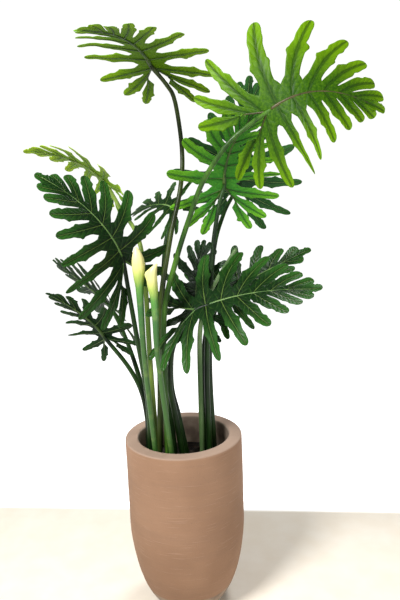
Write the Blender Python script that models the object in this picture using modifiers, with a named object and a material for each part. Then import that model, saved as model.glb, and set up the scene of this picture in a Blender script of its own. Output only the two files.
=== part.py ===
"""A potted philodendron selloum: twelve cut leaves, two flower buds and a rolled young leaf in a clay pot.

Metres, +Z up. The origin is the middle of the pot's foot, on the floor. +Y points away from the viewer.
Every leaf is one blade and stalk that grew as one piece, standing in a plain hole in the soil.
"""

import math

import bmesh
import bpy
from mathutils import Vector

GAP = 0.0003

POT_HEIGHT = 0.60
POT_RADIUS = 0.20
POT_FOOT_RADIUS = 0.10
POT_WALL = 0.045
POT_STRAIGHT_DOWN_TO = 0.30
POT_BELLY_POWER = 1.8
POT_RIM_ROUNDING = 0.006
POT_FLOOR = 0.05
POT_SIDES = 36
POT_BELLY_STEPS = 6

SOIL_TOP = 0.50
HOLE_DEPTH = 0.08
HOLE_SIDES = 8
STRAIGHT_ABOVE_SOIL = 0.02

BLADE_THICKNESS = 0.0012
STALK_RADIUS = 0.0105
STALK_TOP_RADIUS = 0.0065
MIDRIB_END_RADIUS = 0.0012
MIDRIB_REACH = 0.72
MIDRIB_STATIONS = (0.14, 0.32, 0.52, MIDRIB_REACH)
# The stalk's axis lies below the blade by this share of its radius.
STALK_SUNK = 0.55
STALK_STEP = 0.11
STALK_SIDES = 6
BUD_SIDES = 8
ARC_STEPS = 24

RIB_ANGLE = 148.0
LOBE_SWEEP = 14.0
SINUS_AT = 0.20
SHOULDER_AT = 0.54
NECK_AT = 0.66
TIP_AT = 0.93
SHOULDER_WIDTH = 0.062
NECK_WIDTH = 0.044
TIP_WIDTH = 0.034
NEIGHBOUR_SHARE = 0.37
INNER_WEB = 0.03

# A lobe starts at a share of the midrib, or at a negative share out along the bare basal rib.
# Then come its angle from the midrib in degrees and its length as a share of the midrib.
LARGE_LEAF_LOBES = (
    (-0.19, 163, 0.44),
    (-0.11, 137, 0.54),
    (-0.03, 112, 0.64),
    (0.10, 91, 0.66),
    (0.24, 76, 0.60),
    (0.38, 63, 0.50),
    (0.51, 52, 0.40),
    (0.64, 42, 0.30),
    (0.76, 33, 0.22),
)
SMALL_LEAF_LOBES = (
    (-0.17, 158, 0.44),
    (-0.06, 122, 0.58),
    (0.09, 94, 0.64),
    (0.26, 74, 0.56),
    (0.43, 58, 0.44),
    (0.60, 44, 0.31),
    (0.75, 33, 0.22),
)
TERMINAL_LOBE_FROM = 0.81

# The left and the right of a leaf, looking at its upper side with the tip away.
SIDES = (1, -1)

GREENS = {
    "leaf_light": (0.16, 0.36, 0.03),
    "leaf_mid": (0.05, 0.22, 0.05),
    "leaf_dark": (0.012, 0.07, 0.02),
}

# middle, tip and base are points on the midrib, and facing is the way that the upper side looks.
# spread scales the lobes of the left and of the right, and path runs from the soil to the base of the blade.
LEAVES = {
    "leaf_top_left": {
        "lobes": LARGE_LEAF_LOBES,
        "green": "leaf_light",
        "base": (-0.045, 0.020, 1.805),
        "middle": (-0.110, -0.120, 1.850),
        "tip": (-0.215, -0.280, 1.830),
        "facing": (0.10, 0.02, 0.99),
        "fold": 0.10,
        "droop": 0.12,
        "spread": (0.90, 0.96),
        "foot": (-0.085, -0.050),
        "path": (
            (-0.070, -0.045, 0.740),
            (-0.055, -0.040, 1.040),
            (-0.015, 0.000, 1.265),
            (0.025, 0.060, 1.430),
            (0.035, 0.100, 1.555),
            (0.020, 0.075, 1.705),
            (-0.005, 0.045, 1.755),
        ),
    },
    "leaf_top_right": {
        "lobes": LARGE_LEAF_LOBES,
        "green": "leaf_light",
        "base": (0.285, -0.180, 1.625),
        "middle": (0.435, -0.210, 1.670),
        "tip": (0.620, -0.160, 1.615),
        "facing": (0.12, -0.96, 0.25),
        "fold": 0.04,
        "droop": 0.18,
        "spread": (1.03, 0.92),
        "foot": (-0.050, -0.085),
        "path": (
            (-0.050, -0.085, 0.755),
            (-0.040, -0.090, 1.035),
            (0.005, -0.100, 1.205),
            (0.060, -0.125, 1.355),
            (0.100, -0.145, 1.445),
            (0.165, -0.175, 1.535),
            (0.225, -0.185, 1.585),
        ),
    },
    "leaf_upper_middle": {
        "lobes": LARGE_LEAF_LOBES,
        "green": "leaf_mid",
        "base": (0.170, 0.080, 1.430),
        "middle": (0.200, 0.010, 1.560),
        "tip": (0.300, -0.080, 1.670),
        "facing": (-0.12, 0.70, 0.70),
        "fold": 0.08,
        "droop": 0.20,
        "spread": (0.90, 0.90),
        "foot": (0.088, -0.010),
        "path": (
            (0.090, 0.010, 0.855),
            (0.120, 0.050, 1.190),
            (0.150, 0.070, 1.365),
        ),
    },
    "leaf_upper_back": {
        "lobes": SMALL_LEAF_LOBES,
        "green": "leaf_dark",
        "base": (0.230, 0.270, 1.435),
        "middle": (0.250, 0.250, 1.595),
        "tip": (0.275, 0.180, 1.800),
        "facing": (-0.05, 0.80, 0.55),
        "fold": 0.10,
        "droop": 0.15,
        "spread": (1.00, 1.00),
        "foot": (0.104, 0.022),
        "path": (
            (0.100, 0.055, 0.840),
            (0.125, 0.110, 1.185),
            (0.170, 0.190, 1.335),
        ),
    },
    "leaf_left": {
        "lobes": LARGE_LEAF_LOBES,
        "green": "leaf_dark",
        "base": (-0.155, -0.100, 1.215),
        "middle": (-0.230, -0.160, 1.360),
        "tip": (-0.375, -0.210, 1.480),
        "facing": (0.35, -0.75, 0.58),
        "fold": 0.12,
        "droop": 0.15,
        "spread": (0.96, 0.74),
        "foot": (-0.112, -0.045),
        "path": (
            (-0.110, -0.055, 0.745),
            (-0.135, -0.070, 0.985),
            (-0.150, -0.085, 1.135),
        ),
    },
    "leaf_left_back": {
        "lobes": SMALL_LEAF_LOBES,
        "green": "leaf_light",
        "base": (-0.225, 0.130, 1.455),
        "middle": (-0.340, 0.140, 1.540),
        "tip": (-0.515, 0.180, 1.580),
        "facing": (0.40, 0.35, 0.80),
        "fold": 0.03,
        "droop": 0.40,
        "spread": (0.78, 0.78),
        "foot": (-0.098, 0.035),
        "path": (
            (-0.105, 0.045, 0.815),
            (-0.110, 0.070, 1.130),
            (-0.130, 0.110, 1.275),
            (-0.185, 0.130, 1.370),
        ),
    },
    "leaf_right": {
        "lobes": LARGE_LEAF_LOBES,
        "green": "leaf_dark",
        "base": (0.060, -0.090, 1.050),
        "middle": (0.235, -0.120, 1.100),
        "tip": (0.445, -0.160, 1.110),
        "facing": (-0.23, -0.54, 0.81),
        "fold": 0.12,
        "droop": 0.21,
        "spread": (0.92, 0.92),
        "foot": (0.000, -0.035),
        "path": (
            (-0.020, -0.045, 0.665),
            (-0.035, -0.055, 0.795),
            (-0.020, -0.070, 0.915),
            (0.020, -0.080, 1.000),
        ),
    },
    "leaf_middle_small": {
        "lobes": SMALL_LEAF_LOBES,
        "green": "leaf_dark",
        "base": (-0.005, 0.150, 1.365),
        "middle": (-0.070, 0.190, 1.380),
        "tip": (-0.170, 0.300, 1.350),
        "facing": (-0.45, -0.40, 0.80),
        "fold": 0.12,
        "droop": 0.28,
        "spread": (0.98, 1.15),
        "foot": (-0.035, 0.045),
        "path": (
            (-0.055, 0.070, 0.790),
            (-0.055, 0.090, 1.020),
            (-0.040, 0.120, 1.225),
        ),
    },
    "leaf_centre_back": {
        "lobes": SMALL_LEAF_LOBES,
        "green": "leaf_dark",
        "base": (0.060, 0.110, 1.020),
        "middle": (0.070, 0.140, 1.130),
        "tip": (0.100, 0.180, 1.250),
        "facing": (-0.20, -0.88, 0.42),
        "fold": 0.12,
        "droop": 0.12,
        "spread": (1.15, 1.15),
        "foot": (0.010, 0.012),
        "path": (
            (-0.015, 0.015, 0.660),
            (-0.035, 0.035, 0.765),
            (-0.025, 0.070, 0.895),
            (0.015, 0.110, 0.975),
        ),
    },
    "leaf_right_back": {
        "lobes": SMALL_LEAF_LOBES,
        "green": "leaf_dark",
        "base": (0.155, 0.190, 1.040),
        "middle": (0.295, 0.200, 1.115),
        "tip": (0.485, 0.210, 1.200),
        "facing": (-0.15, -0.75, 0.65),
        "fold": 0.15,
        "droop": 0.10,
        "spread": (0.80, 0.80),
        "foot": (0.072, 0.034),
        "path": (
            (0.080, 0.045, 0.845),
            (0.100, 0.110, 0.955),
        ),
    },
    "leaf_low_left": {
        "lobes": SMALL_LEAF_LOBES,
        "green": "leaf_dark",
        "base": (-0.245, -0.010, 0.955),
        "middle": (-0.305, -0.050, 1.040),
        "tip": (-0.410, -0.080, 1.120),
        "facing": (0.25, 0.66, 0.71),
        "fold": 0.18,
        "droop": 0.20,
        "spread": (0.80, 1.02),
        "foot": (-0.122, -0.005),
        "path": (
            (-0.120, -0.005, 0.650),
            (-0.135, -0.010, 0.760),
            (-0.175, -0.010, 0.850),
        ),
    },
    "leaf_low_left_back": {
        "lobes": SMALL_LEAF_LOBES,
        "green": "leaf_dark",
        "base": (-0.240, 0.150, 1.020),
        "middle": (-0.345, 0.240, 1.095),
        "tip": (-0.480, 0.300, 1.185),
        "facing": (0.60, 0.50, 0.60),
        "fold": 0.05,
        "droop": 0.15,
        "spread": (1.05, 1.05),
        "foot": (-0.105, 0.075),
        "path": (
            (-0.150, 0.090, 0.770),
            (-0.200, 0.130, 0.925),
        ),
    },
}

# Each point of a bud or of the young leaf has its place and its radius there.
BUDS = {
    "bud_left": {
        "foot": (-0.086, -0.100),
        "path": (
            (-0.089, -0.11, 0.575, 0.0085),
            (-0.104, -0.14, 0.90, 0.0085),
            (-0.106, -0.15, 1.08, 0.0105),
            (-0.106, -0.15, 1.135, 0.0125),
            (-0.106, -0.15, 1.165, 0.0170),
            (-0.106, -0.15, 1.200, 0.0205),
            (-0.107, -0.15, 1.225, 0.0180),
            (-0.109, -0.15, 1.245, 0.0110),
            (-0.110, -0.15, 1.258, 0.0030),
        ),
    },
    "bud_right": {
        "foot": (-0.030, -0.118),
        "path": (
            (-0.036, -0.12, 0.58, 0.0085),
            (-0.060, -0.16, 0.90, 0.0085),
            (-0.061, -0.17, 1.04, 0.0105),
            (-0.062, -0.17, 1.100, 0.0120),
            (-0.064, -0.17, 1.130, 0.0155),
            (-0.066, -0.17, 1.160, 0.0165),
            (-0.062, -0.17, 1.185, 0.0130),
            (-0.054, -0.17, 1.200, 0.0070),
            (-0.048, -0.17, 1.207, 0.0020),
        ),
    },
}
YOUNG_LEAF = {
    "foot": (0.062, -0.004),
    "path": (
        (0.064, -0.008, 0.72, 0.0085),
        (0.070, -0.014, 0.95, 0.0082),
        (0.094, -0.010, 1.065, 0.0078),
        (0.120, 0.002, 1.107, 0.0075),
        (0.152, 0.030, 1.153, 0.0071),
        (0.203, 0.062, 1.222, 0.0065),
    ),
}


def clear_scene():
    for obj in list(bpy.data.objects):
        bpy.data.objects.remove(obj, do_unlink=True)


def make_material(name, colour, roughness):
    material = bpy.data.materials.new(name)
    material.use_nodes = True
    shader = material.node_tree.nodes["Principled BSDF"]
    shader.inputs["Base Color"].default_value = (*colour, 1.0)
    shader.inputs["Roughness"].default_value = roughness
    shader.inputs["Metallic"].default_value = 0.0
    return material


def make_object(name, mesh, material, collection):
    obj = bpy.data.objects.new(name, mesh)
    collection.objects.link(obj)
    mesh.materials.clear()
    mesh.materials.append(material)
    return obj


def evaluated_copy(obj):
    """The object's mesh with its modifiers applied, in world space and with close points welded."""
    bpy.context.view_layer.update()
    graph = bpy.context.evaluated_depsgraph_get()
    mesh = bpy.data.meshes.new_from_object(obj.evaluated_get(graph))
    mesh.transform(obj.matrix_world)
    work = bmesh.new()
    work.from_mesh(mesh)
    bmesh.ops.remove_doubles(work, verts=work.verts, dist=1e-6)
    bmesh.ops.recalc_face_normals(work, faces=work.faces)
    work.to_mesh(mesh)
    work.free()
    return mesh


def turned_solid(name, profile, material, collection):
    """A profile of (radius, height) points, from the axis round to the axis, turned once about Z."""
    mesh = bpy.data.meshes.new(name)
    edges = [(i, i + 1) for i in range(len(profile) - 1)]
    mesh.from_pydata([(r, 0.0, z) for r, z in profile], edges, [])
    obj = make_object(name, mesh, material, collection)
    screw = obj.modifiers.new("Turn", "SCREW")
    screw.steps = POT_SIDES
    screw.render_steps = POT_SIDES
    screw.use_merge_vertices = True
    screw.merge_threshold = 0.00001
    screw.use_smooth_shade = False
    return obj


def pot_radius(height):
    """Straight from the rim to the belly, then rounding in to the foot."""
    if height >= POT_STRAIGHT_DOWN_TO:
        return POT_RADIUS
    depth = (POT_STRAIGHT_DOWN_TO - height) / POT_STRAIGHT_DOWN_TO
    bulge = (1 - depth**POT_BELLY_POWER) ** (1 / POT_BELLY_POWER)
    return POT_FOOT_RADIUS + (POT_RADIUS - POT_FOOT_RADIUS) * bulge


def belly_heights(lowest):
    """Heights from the belly's top down to lowest, closer together where the wall turns faster."""
    last = math.acos(lowest / POT_STRAIGHT_DOWN_TO)
    steps = range(POT_BELLY_STEPS + 1)
    return [POT_STRAIGHT_DOWN_TO * math.cos(last * step / POT_BELLY_STEPS) for step in steps]


def inner_profile(clearance):
    """The pot's inner wall from the floor's edge up to the belly's top, drawn in by a clearance."""
    heights = belly_heights(POT_FLOOR)[::-1]
    floor_radius = pot_radius(POT_FLOOR) - POT_WALL
    wall = [(pot_radius(h) - POT_WALL - clearance, h) for h in heights[1:]]
    return [(floor_radius - clearance, POT_FLOOR + clearance)] + wall


def make_pot(material, collection):
    rounding = POT_RIM_ROUNDING
    rim = [
        (POT_RADIUS - POT_WALL + rounding, POT_HEIGHT),
        (POT_RADIUS - rounding, POT_HEIGHT),
        (POT_RADIUS - 0.3 * rounding, POT_HEIGHT - 0.3 * rounding),
        (POT_RADIUS, POT_HEIGHT - rounding),
    ]
    outside = [(pot_radius(h), h) for h in belly_heights(0.0)]
    inside = inner_profile(0.0)
    mouth = (POT_RADIUS - POT_WALL, POT_HEIGHT - rounding)
    profile = [(0.0, POT_FLOOR)] + inside + [mouth] + rim + outside + [(0.0, 0.0)]
    return turned_solid("pot", profile, material, collection)


def foot_line(foot, first):
    """Where a stem stands in the soil: the bottom of its hole, a point just above the soil, and its slope."""
    rise = first[2] - SOIL_TOP
    slope = Vector(((first[0] - foot[0]) / rise, (first[1] - foot[1]) / rise, 1.0))
    surface = Vector((foot[0], foot[1], SOIL_TOP))
    bottom = surface - slope * (HOLE_DEPTH - GAP)
    above = surface + slope * STRAIGHT_ABOVE_SOIL
    return bottom, above, slope


def make_hole(foot, first, radius, collection):
    """A cutter a little wider than the stem, along the same line, reaching out above the soil."""
    bottom, above, slope = foot_line(foot, first)
    low = bottom - slope * GAP
    length = (above - low).length
    bpy.ops.mesh.primitive_cylinder_add(
        vertices=HOLE_SIDES,
        radius=(radius + GAP) / math.cos(math.pi / HOLE_SIDES),
        depth=length,
        location=(low + above) / 2,
        rotation=slope.to_track_quat("Z", "Y").to_euler(),
    )
    cutter = bpy.context.object
    cutter.name = "hole_cutter"
    cutter.hide_render = True
    cutter.display_type = "WIRE"
    for home in list(cutter.users_collection):
        home.objects.unlink(cutter)
    collection.objects.link(cutter)


def make_soil(stems, material, collection, cutters):
    top_radius = POT_RADIUS - POT_WALL - GAP
    wall = inner_profile(GAP)[::-1]
    profile = [(0.0, SOIL_TOP), (top_radius, SOIL_TOP)] + wall + [(0.0, POT_FLOOR + GAP)]
    soil = turned_solid("soil", profile, material, collection)
    for foot, first, radius in stems:
        make_hole(foot, first, radius, cutters)
    holes = soil.modifiers.new("Stem holes", "BOOLEAN")
    holes.operand_type = "COLLECTION"
    holes.collection = cutters
    holes.operation = "DIFFERENCE"
    holes.solver = "EXACT"
    return soil


def catmull_point(before, start, end, after, share):
    """A point on the smooth curve that passes through start and end."""
    return 0.5 * (
        2 * start
        + (end - before) * share
        + (2 * before - 5 * start + 4 * end - after) * share**2
        + (3 * start - before - 3 * end + after) * share**3
    )


def smooth_path(points, step):
    """Points about one step apart on a smooth curve through the given ones. The fourth number is the radius."""
    ends = [points[0] * 2 - points[1]] + list(points) + [points[-1] * 2 - points[-2]]
    made = []
    for i in range(1, len(ends) - 2):
        count = max(1, round((ends[i + 1] - ends[i]).length / step))
        for k in range(count):
            made.append(catmull_point(ends[i - 1], ends[i], ends[i + 1], ends[i + 2], k / count))
    made.append(points[-1])
    return made


def make_tube(name, points, sides, collection):
    """A tapered round rod through points whose fourth number is the radius, with filled ends."""
    curve = bpy.data.curves.new(name, "CURVE")
    curve.dimensions = "3D"
    curve.bevel_depth = STALK_RADIUS
    curve.bevel_resolution = (sides - 4) // 2
    curve.use_fill_caps = True
    spline = curve.splines.new("POLY")
    spline.points.add(len(points) - 1)
    for target, point in zip(spline.points, points):
        target.co = (point[0], point[1], point[2], 1.0)
        target.radius = point[3] / STALK_RADIUS
    obj = bpy.data.objects.new(name, curve)
    collection.objects.link(obj)
    mesh = evaluated_copy(obj)
    bpy.data.objects.remove(obj, do_unlink=True)
    return mesh


class Blade:
    """Maps the flat leaf, u along the midrib and v across it, onto the arched, folded, drooping blade."""

    def __init__(self, leaf):
        self.base = Vector(leaf["base"])
        self.middle = Vector(leaf["middle"])
        self.tip = Vector(leaf["tip"])
        self.facing = Vector(leaf["facing"]).normalized()
        self.fold = leaf["fold"]
        self.droop = leaf["droop"]
        points = [self.midrib(i / ARC_STEPS) for i in range(ARC_STEPS + 1)]
        self.length = sum((b - a).length for a, b in zip(points, points[1:]))

    def slope(self, share):
        along = share * 2
        return (
            self.base * (2 * along - 3) + self.middle * (4 - 4 * along) + self.tip * (2 * along - 1)
        )

    def midrib(self, share):
        """A parabola through base, middle and tip, going on straight past both ends."""
        held = min(max(share, 0.0), 1.0)
        along = held * 2
        point = (
            self.base * ((along - 1) * (along - 2) / 2)
            + self.middle * (along * (2 - along))
            + self.tip * (along * (along - 1) / 2)
        )
        return point + self.slope(held) * (share - held)

    def frame(self, share):
        forward = self.slope(min(max(share, 0.0), 1.0)).normalized()
        up = (self.facing - forward * self.facing.dot(forward)).normalized()
        return forward, up.cross(forward), up

    def place(self, flat):
        along = flat.x / self.length
        _, left, up = self.frame(along)
        across = abs(flat.y) / self.length
        behind = max(-along, 0.0)
        height = self.fold * across - self.droop * (across**2 + behind**2)
        return self.midrib(along) + left * flat.y + up * (height * self.length)


def spine_point(length, share, side):
    """A point on the midrib, or on the basal rib of one side where the share is negative."""
    if share >= 0:
        return Vector((share * length, 0.0))
    angle = math.radians(RIB_ANGLE)
    return Vector((math.cos(angle), side * math.sin(angle))) * (-share * length)


def lobe_axis(length, lobe, side, along):
    """A point on the vein of a lobe, which sweeps forward as it runs out, and its direction there."""
    start, angle, reach = lobe
    turned = math.radians(angle - LOBE_SWEEP * along * 0.5)
    heading = Vector((math.cos(turned), side * math.sin(turned)))
    return spine_point(length, start, side) + heading * (reach * length * along), heading


def lobe_edge(length, lobe, neighbour, side, outer, along, width):
    """The lobe's edge at one place, never past its share of the way to the neighbouring lobe."""
    point, heading = lobe_axis(length, lobe, side, along)
    half = width * length
    if neighbour:
        away = lobe_axis(length, neighbour, side, along)[0] - point
        half = min(half, NEIGHBOUR_SHARE * abs(heading.cross(away)))
    turn = side if not outer else -side
    return point + Vector((-heading.y, heading.x)) * (turn * half)


def lobe_rows(length, lobe, before, after, side):
    """Rows of three flat points each, from the spine out to the rounded tip: inner edge, vein, outer edge."""
    start = lobe[0]
    inner_share = start - INNER_WEB if before is None else web_share(before, lobe)
    outer_share = web_share(lobe, after)
    rows = [
        [
            spine_point(length, inner_share, side),
            spine_point(length, start, side),
            spine_point(length, outer_share, side),
        ]
    ]
    vein = lobe_axis(length, lobe, side, SINUS_AT)[0]
    outer_sinus = (vein + lobe_axis(length, after, side, SINUS_AT)[0]) / 2
    if before is None:
        inner_sinus = lobe_edge(length, lobe, None, side, False, SINUS_AT, NECK_WIDTH)
    else:
        inner_sinus = (vein + lobe_axis(length, before, side, SINUS_AT)[0]) / 2
    rows.append([inner_sinus, vein, outer_sinus])
    stations = ((SHOULDER_AT, SHOULDER_WIDTH), (NECK_AT, NECK_WIDTH), (TIP_AT, TIP_WIDTH))
    for along, width in stations:
        rows.append(
            [
                lobe_edge(length, lobe, before, side, False, along, width),
                lobe_axis(length, lobe, side, along)[0],
                lobe_edge(length, lobe, after, side, True, along, width),
            ]
        )
    rows[-1][1] = lobe_axis(length, lobe, side, 1.0)[0]
    return rows


def web_share(lobe, after):
    """Where two neighbouring lobes part on the spine. A pair on both sides of the base parts at the base."""
    if lobe[0] < 0 < after[0]:
        return 0.0
    return (lobe[0] + after[0]) / 2 if after[1] else after[0]


def terminal_rows(length, neighbours, terminal):
    """The lobe at the tip, which shares a notch with the last lobe of each side."""
    vein = lobe_axis(length, terminal, 1, SINUS_AT)[0]
    notches = [
        (vein + lobe_axis(length, neighbour, side, SINUS_AT)[0]) / 2
        for neighbour, side in zip(neighbours, SIDES)
    ]
    rows = [[notches[0], vein, notches[1]]]
    for along, width in ((SHOULDER_AT, NECK_WIDTH), (TIP_AT, TIP_WIDTH)):
        point = lobe_axis(length, terminal, 1, along)[0]
        half = Vector((0.0, width * length))
        rows.append([point + half, point, point - half])
    rows[-1][1] = Vector((length, 0.0))
    return rows


def add_strip(work, rows, blade):
    """Triangles between rows of three points, cut alike on both sides of the vein."""
    grid = [[work.verts.new(blade.place(point)) for point in row] for row in rows]
    for near, far in zip(grid, grid[1:]):
        work.faces.new((near[0], near[1], far[1]))
        work.faces.new((near[0], far[1], far[0]))
        work.faces.new((near[1], near[2], far[1]))
        work.faces.new((near[2], far[2], far[1]))


def make_blade(name, leaf, blade):
    """The cut blade as a sheet with no thickness yet."""
    length = blade.length
    work = bmesh.new()
    terminal = (TERMINAL_LOBE_FROM, 0, 1.0 - TERMINAL_LOBE_FROM)
    last_lobes = []
    for side, spread in zip(SIDES, leaf["spread"]):
        lobes = [(start, angle, reach * spread) for start, angle, reach in leaf["lobes"]]
        last_lobes.append(lobes[-1])
        for index, lobe in enumerate(lobes):
            before = lobes[index - 1] if index else None
            after = lobes[index + 1] if index + 1 < len(lobes) else terminal
            add_strip(work, lobe_rows(length, lobe, before, after, side), blade)
    rows = terminal_rows(length, last_lobes, terminal)
    add_strip(work, rows, blade)
    start = work.verts.new(blade.place(Vector((TERMINAL_LOBE_FROM * length, 0.0))))
    notches = [work.verts.new(blade.place(point)) for point in rows[0]]
    work.faces.new((start, notches[0], notches[1]))
    work.faces.new((start, notches[1], notches[2]))
    bmesh.ops.remove_doubles(work, verts=work.verts, dist=1e-5)
    bmesh.ops.recalc_face_normals(work, faces=work.faces)
    mesh = bpy.data.meshes.new(name)
    work.to_mesh(mesh)
    work.free()
    return mesh


def stalk_points(leaf, blade):
    """The stalk from the bottom of its hole to the blade, and on under the midrib, with a radius at each point."""
    bottom, above, _ = foot_line(leaf["foot"], leaf["path"][0])
    bends = [above] + [Vector(p) for p in leaf["path"]] + [blade.base]
    runs = [(b - a).length for a, b in zip(bends, bends[1:])]
    total = sum(runs)
    done = 0.0
    rated = []
    for point, run in zip(bends, runs + [0.0]):
        radius = STALK_RADIUS + (STALK_TOP_RADIUS - STALK_RADIUS) * done / total
        rated.append(Vector((*point, radius)))
        done += run
    under = []
    for share in MIDRIB_STATIONS:
        radius = STALK_TOP_RADIUS + (MIDRIB_END_RADIUS - STALK_TOP_RADIUS) * share / MIDRIB_REACH
        _, _, up = blade.frame(share)
        centre = blade.midrib(share) - up * (radius * STALK_SUNK)
        under.append(Vector((*centre, radius)))
    _, _, up = blade.frame(0.0)
    rated[-1] -= Vector((*(up * STALK_TOP_RADIUS * STALK_SUNK), 0.0))
    return [Vector((*bottom, STALK_RADIUS))] + smooth_path(rated + under, STALK_STEP)


def make_leaf(name, leaf, material, collection):
    blade = Blade(leaf)
    sheet = make_object(name, make_blade(name, leaf, blade), material, collection)
    solid = sheet.modifiers.new("Thickness", "SOLIDIFY")
    solid.thickness = BLADE_THICKNESS
    solid.offset = 0.0
    solid.use_even_offset = False
    stalk_mesh = make_tube(name + "_stalk", stalk_points(leaf, blade), STALK_SIDES, collection)
    stalk = make_object(name + "_stalk", stalk_mesh, material, collection)
    join = sheet.modifiers.new("Stalk", "BOOLEAN")
    join.operation = "UNION"
    join.object = stalk
    # Both solids are closed, and this solver keeps thin slanted sheets that the exact one drops.
    join.solver = "MANIFOLD"
    joined = evaluated_copy(sheet)
    bpy.data.objects.remove(stalk, do_unlink=True)
    bpy.data.objects.remove(sheet, do_unlink=True)
    return make_object(name, joined, material, collection)


def make_rod(name, rod, sides, material, collection):
    """A bud on its stalk, or the rolled young leaf: one tapered rod out of its hole."""
    first = rod["path"][0]
    bottom, above, _ = foot_line(rod["foot"], first)
    rated = [Vector((*above, first[3]))] + [Vector(p) for p in rod["path"]]
    points = [Vector((*bottom, first[3]))] + smooth_path(rated, STALK_STEP)
    return make_object(name, make_tube(name, points, sides, collection), material, collection)


def main():
    clear_scene()
    collection = bpy.data.collections.new("potted_philodendron_selloum")
    cutters = bpy.data.collections.new("cutters")
    for made in (collection, cutters):
        bpy.context.scene.collection.children.link(made)
    greens = {name: make_material(name, colour, 0.35) for name, colour in GREENS.items()}
    bud_cream = make_material("bud_cream", (0.75, 0.72, 0.30), 0.45)
    stem_green = make_material("stem_green", (0.10, 0.25, 0.04), 0.45)

    make_pot(make_material("clay", (0.36, 0.22, 0.15), 0.85), collection)
    for name, leaf in LEAVES.items():
        make_leaf(name, leaf, greens[leaf["green"]], collection)
    for name, bud in BUDS.items():
        make_rod(name, bud, BUD_SIDES, bud_cream, collection)
    make_rod("young_leaf", YOUNG_LEAF, STALK_SIDES, stem_green, collection)

    stems = [(leaf["foot"], leaf["path"][0], STALK_RADIUS) for leaf in LEAVES.values()]
    rods = list(BUDS.values()) + [YOUNG_LEAF]
    stems += [(rod["foot"], rod["path"][0], rod["path"][0][3]) for rod in rods]
    make_soil(stems, make_material("soil", (0.05, 0.035, 0.025), 0.95), collection, cutters)


main()
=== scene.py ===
# %% [markdown]
# # A potted philodendron selloum
# The plant carries twelve deeply cut leaves on long stalks, two flower buds and one rolled young leaf,
# and it stands in a round clay pot. The solid model is already packed, in metres, with the middle of
# the pot's foot at the origin. This lesson dresses it: each solid gives its place to a finer piece of
# the same form, and each piece gets a material made of nodes.

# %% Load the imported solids
import math
import random

import bmesh
import bpy
from mathutils import Matrix, Vector, noise


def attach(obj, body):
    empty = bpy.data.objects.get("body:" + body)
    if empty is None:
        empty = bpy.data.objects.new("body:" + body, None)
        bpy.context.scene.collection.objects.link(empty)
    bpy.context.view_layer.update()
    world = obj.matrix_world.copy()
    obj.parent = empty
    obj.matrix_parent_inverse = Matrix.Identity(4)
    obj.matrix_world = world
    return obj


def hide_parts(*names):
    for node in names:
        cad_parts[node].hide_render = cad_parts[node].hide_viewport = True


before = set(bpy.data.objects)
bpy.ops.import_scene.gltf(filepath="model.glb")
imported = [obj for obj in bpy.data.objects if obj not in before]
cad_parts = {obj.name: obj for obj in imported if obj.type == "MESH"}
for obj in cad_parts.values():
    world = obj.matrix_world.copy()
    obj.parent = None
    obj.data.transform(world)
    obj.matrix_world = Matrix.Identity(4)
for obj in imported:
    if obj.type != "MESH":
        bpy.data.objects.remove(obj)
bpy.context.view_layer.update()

# %% [markdown]
# ## The camera
# A photographer stood about two metres away with the lens just above the middle of the plant, so we
# look down on the pot and up at the highest leaf. We could drag a camera by hand, but the place and
# the lens follow from the rim of the pot, which shows as an ellipse. The picture leans a little, so the
# camera is also turned about its own line of sight.

# %% Place the camera
def put(name, data):
    """A new object in the scene."""
    made = bpy.data.objects.new(name, data)
    bpy.context.scene.collection.objects.link(made)
    return made


CAMERA_AT = (0.075, -1.824, 1.382)
CAMERA_DOWN = 9.89
CAMERA_LEAN = -2.28
LENS = 33.6

camera = put("camera", bpy.data.cameras.new("camera"))
camera.data.lens = LENS
camera.data.sensor_width = 36.0
camera.data.sensor_fit = "AUTO"
look = Matrix.Rotation(math.radians(90 - CAMERA_DOWN), 4, "X")
lean = Matrix.Rotation(math.radians(CAMERA_LEAN), 4, "Z")
camera.matrix_world = Matrix.Translation(CAMERA_AT) @ look @ lean
bpy.context.scene.camera = camera
print("camera looks", CAMERA_DOWN, "degrees down")

# %% [markdown]
# ## Sockets that add up
# Shader maths is easier to read as an expression than as a row of nodes. This small class wraps one
# output of a node, and Python's own signs then add the Math nodes for us. The reflected forms let a
# plain number stand first, as in 1 - mask.

# %% Wrap a socket
class Value:
    """One output of a node, with Python's signs for its maths."""

    def __init__(self, finish, socket):
        self.finish = finish
        self.socket = socket

    def math(self, operation, *others):
        inputs = {0: self}
        inputs.update({index + 1: other for index, other in enumerate(others)})
        return self.finish.add("ShaderNodeMath", {"operation": operation}, inputs)

    def __add__(self, other):
        return self.math("ADD", other)

    def __sub__(self, other):
        return self.math("SUBTRACT", other)

    def __rsub__(self, other):
        return self.finish.add("ShaderNodeMath", {"operation": "SUBTRACT"}, {0: other, 1: self})

    def __mul__(self, other):
        return self.math("MULTIPLY", other)

    __radd__ = __add__
    __rmul__ = __mul__


# %% [markdown]
# ## One way to add any node
# A finish is a material under construction. Its add method takes the kind of node, its settings and
# what goes into its sockets. A few short methods cover the nodes that come back all the time: cloudy
# noise, a soft step between two limits, a blend of two colours and the bump that the light sees.

# %% Make the finish class
# A Mix node has one set of sockets for each kind of data, so those for colours are named by number.
MIX_FACTOR, MIX_FIRST, MIX_SECOND, MIX_OUT = 0, 6, 7, 2


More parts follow.
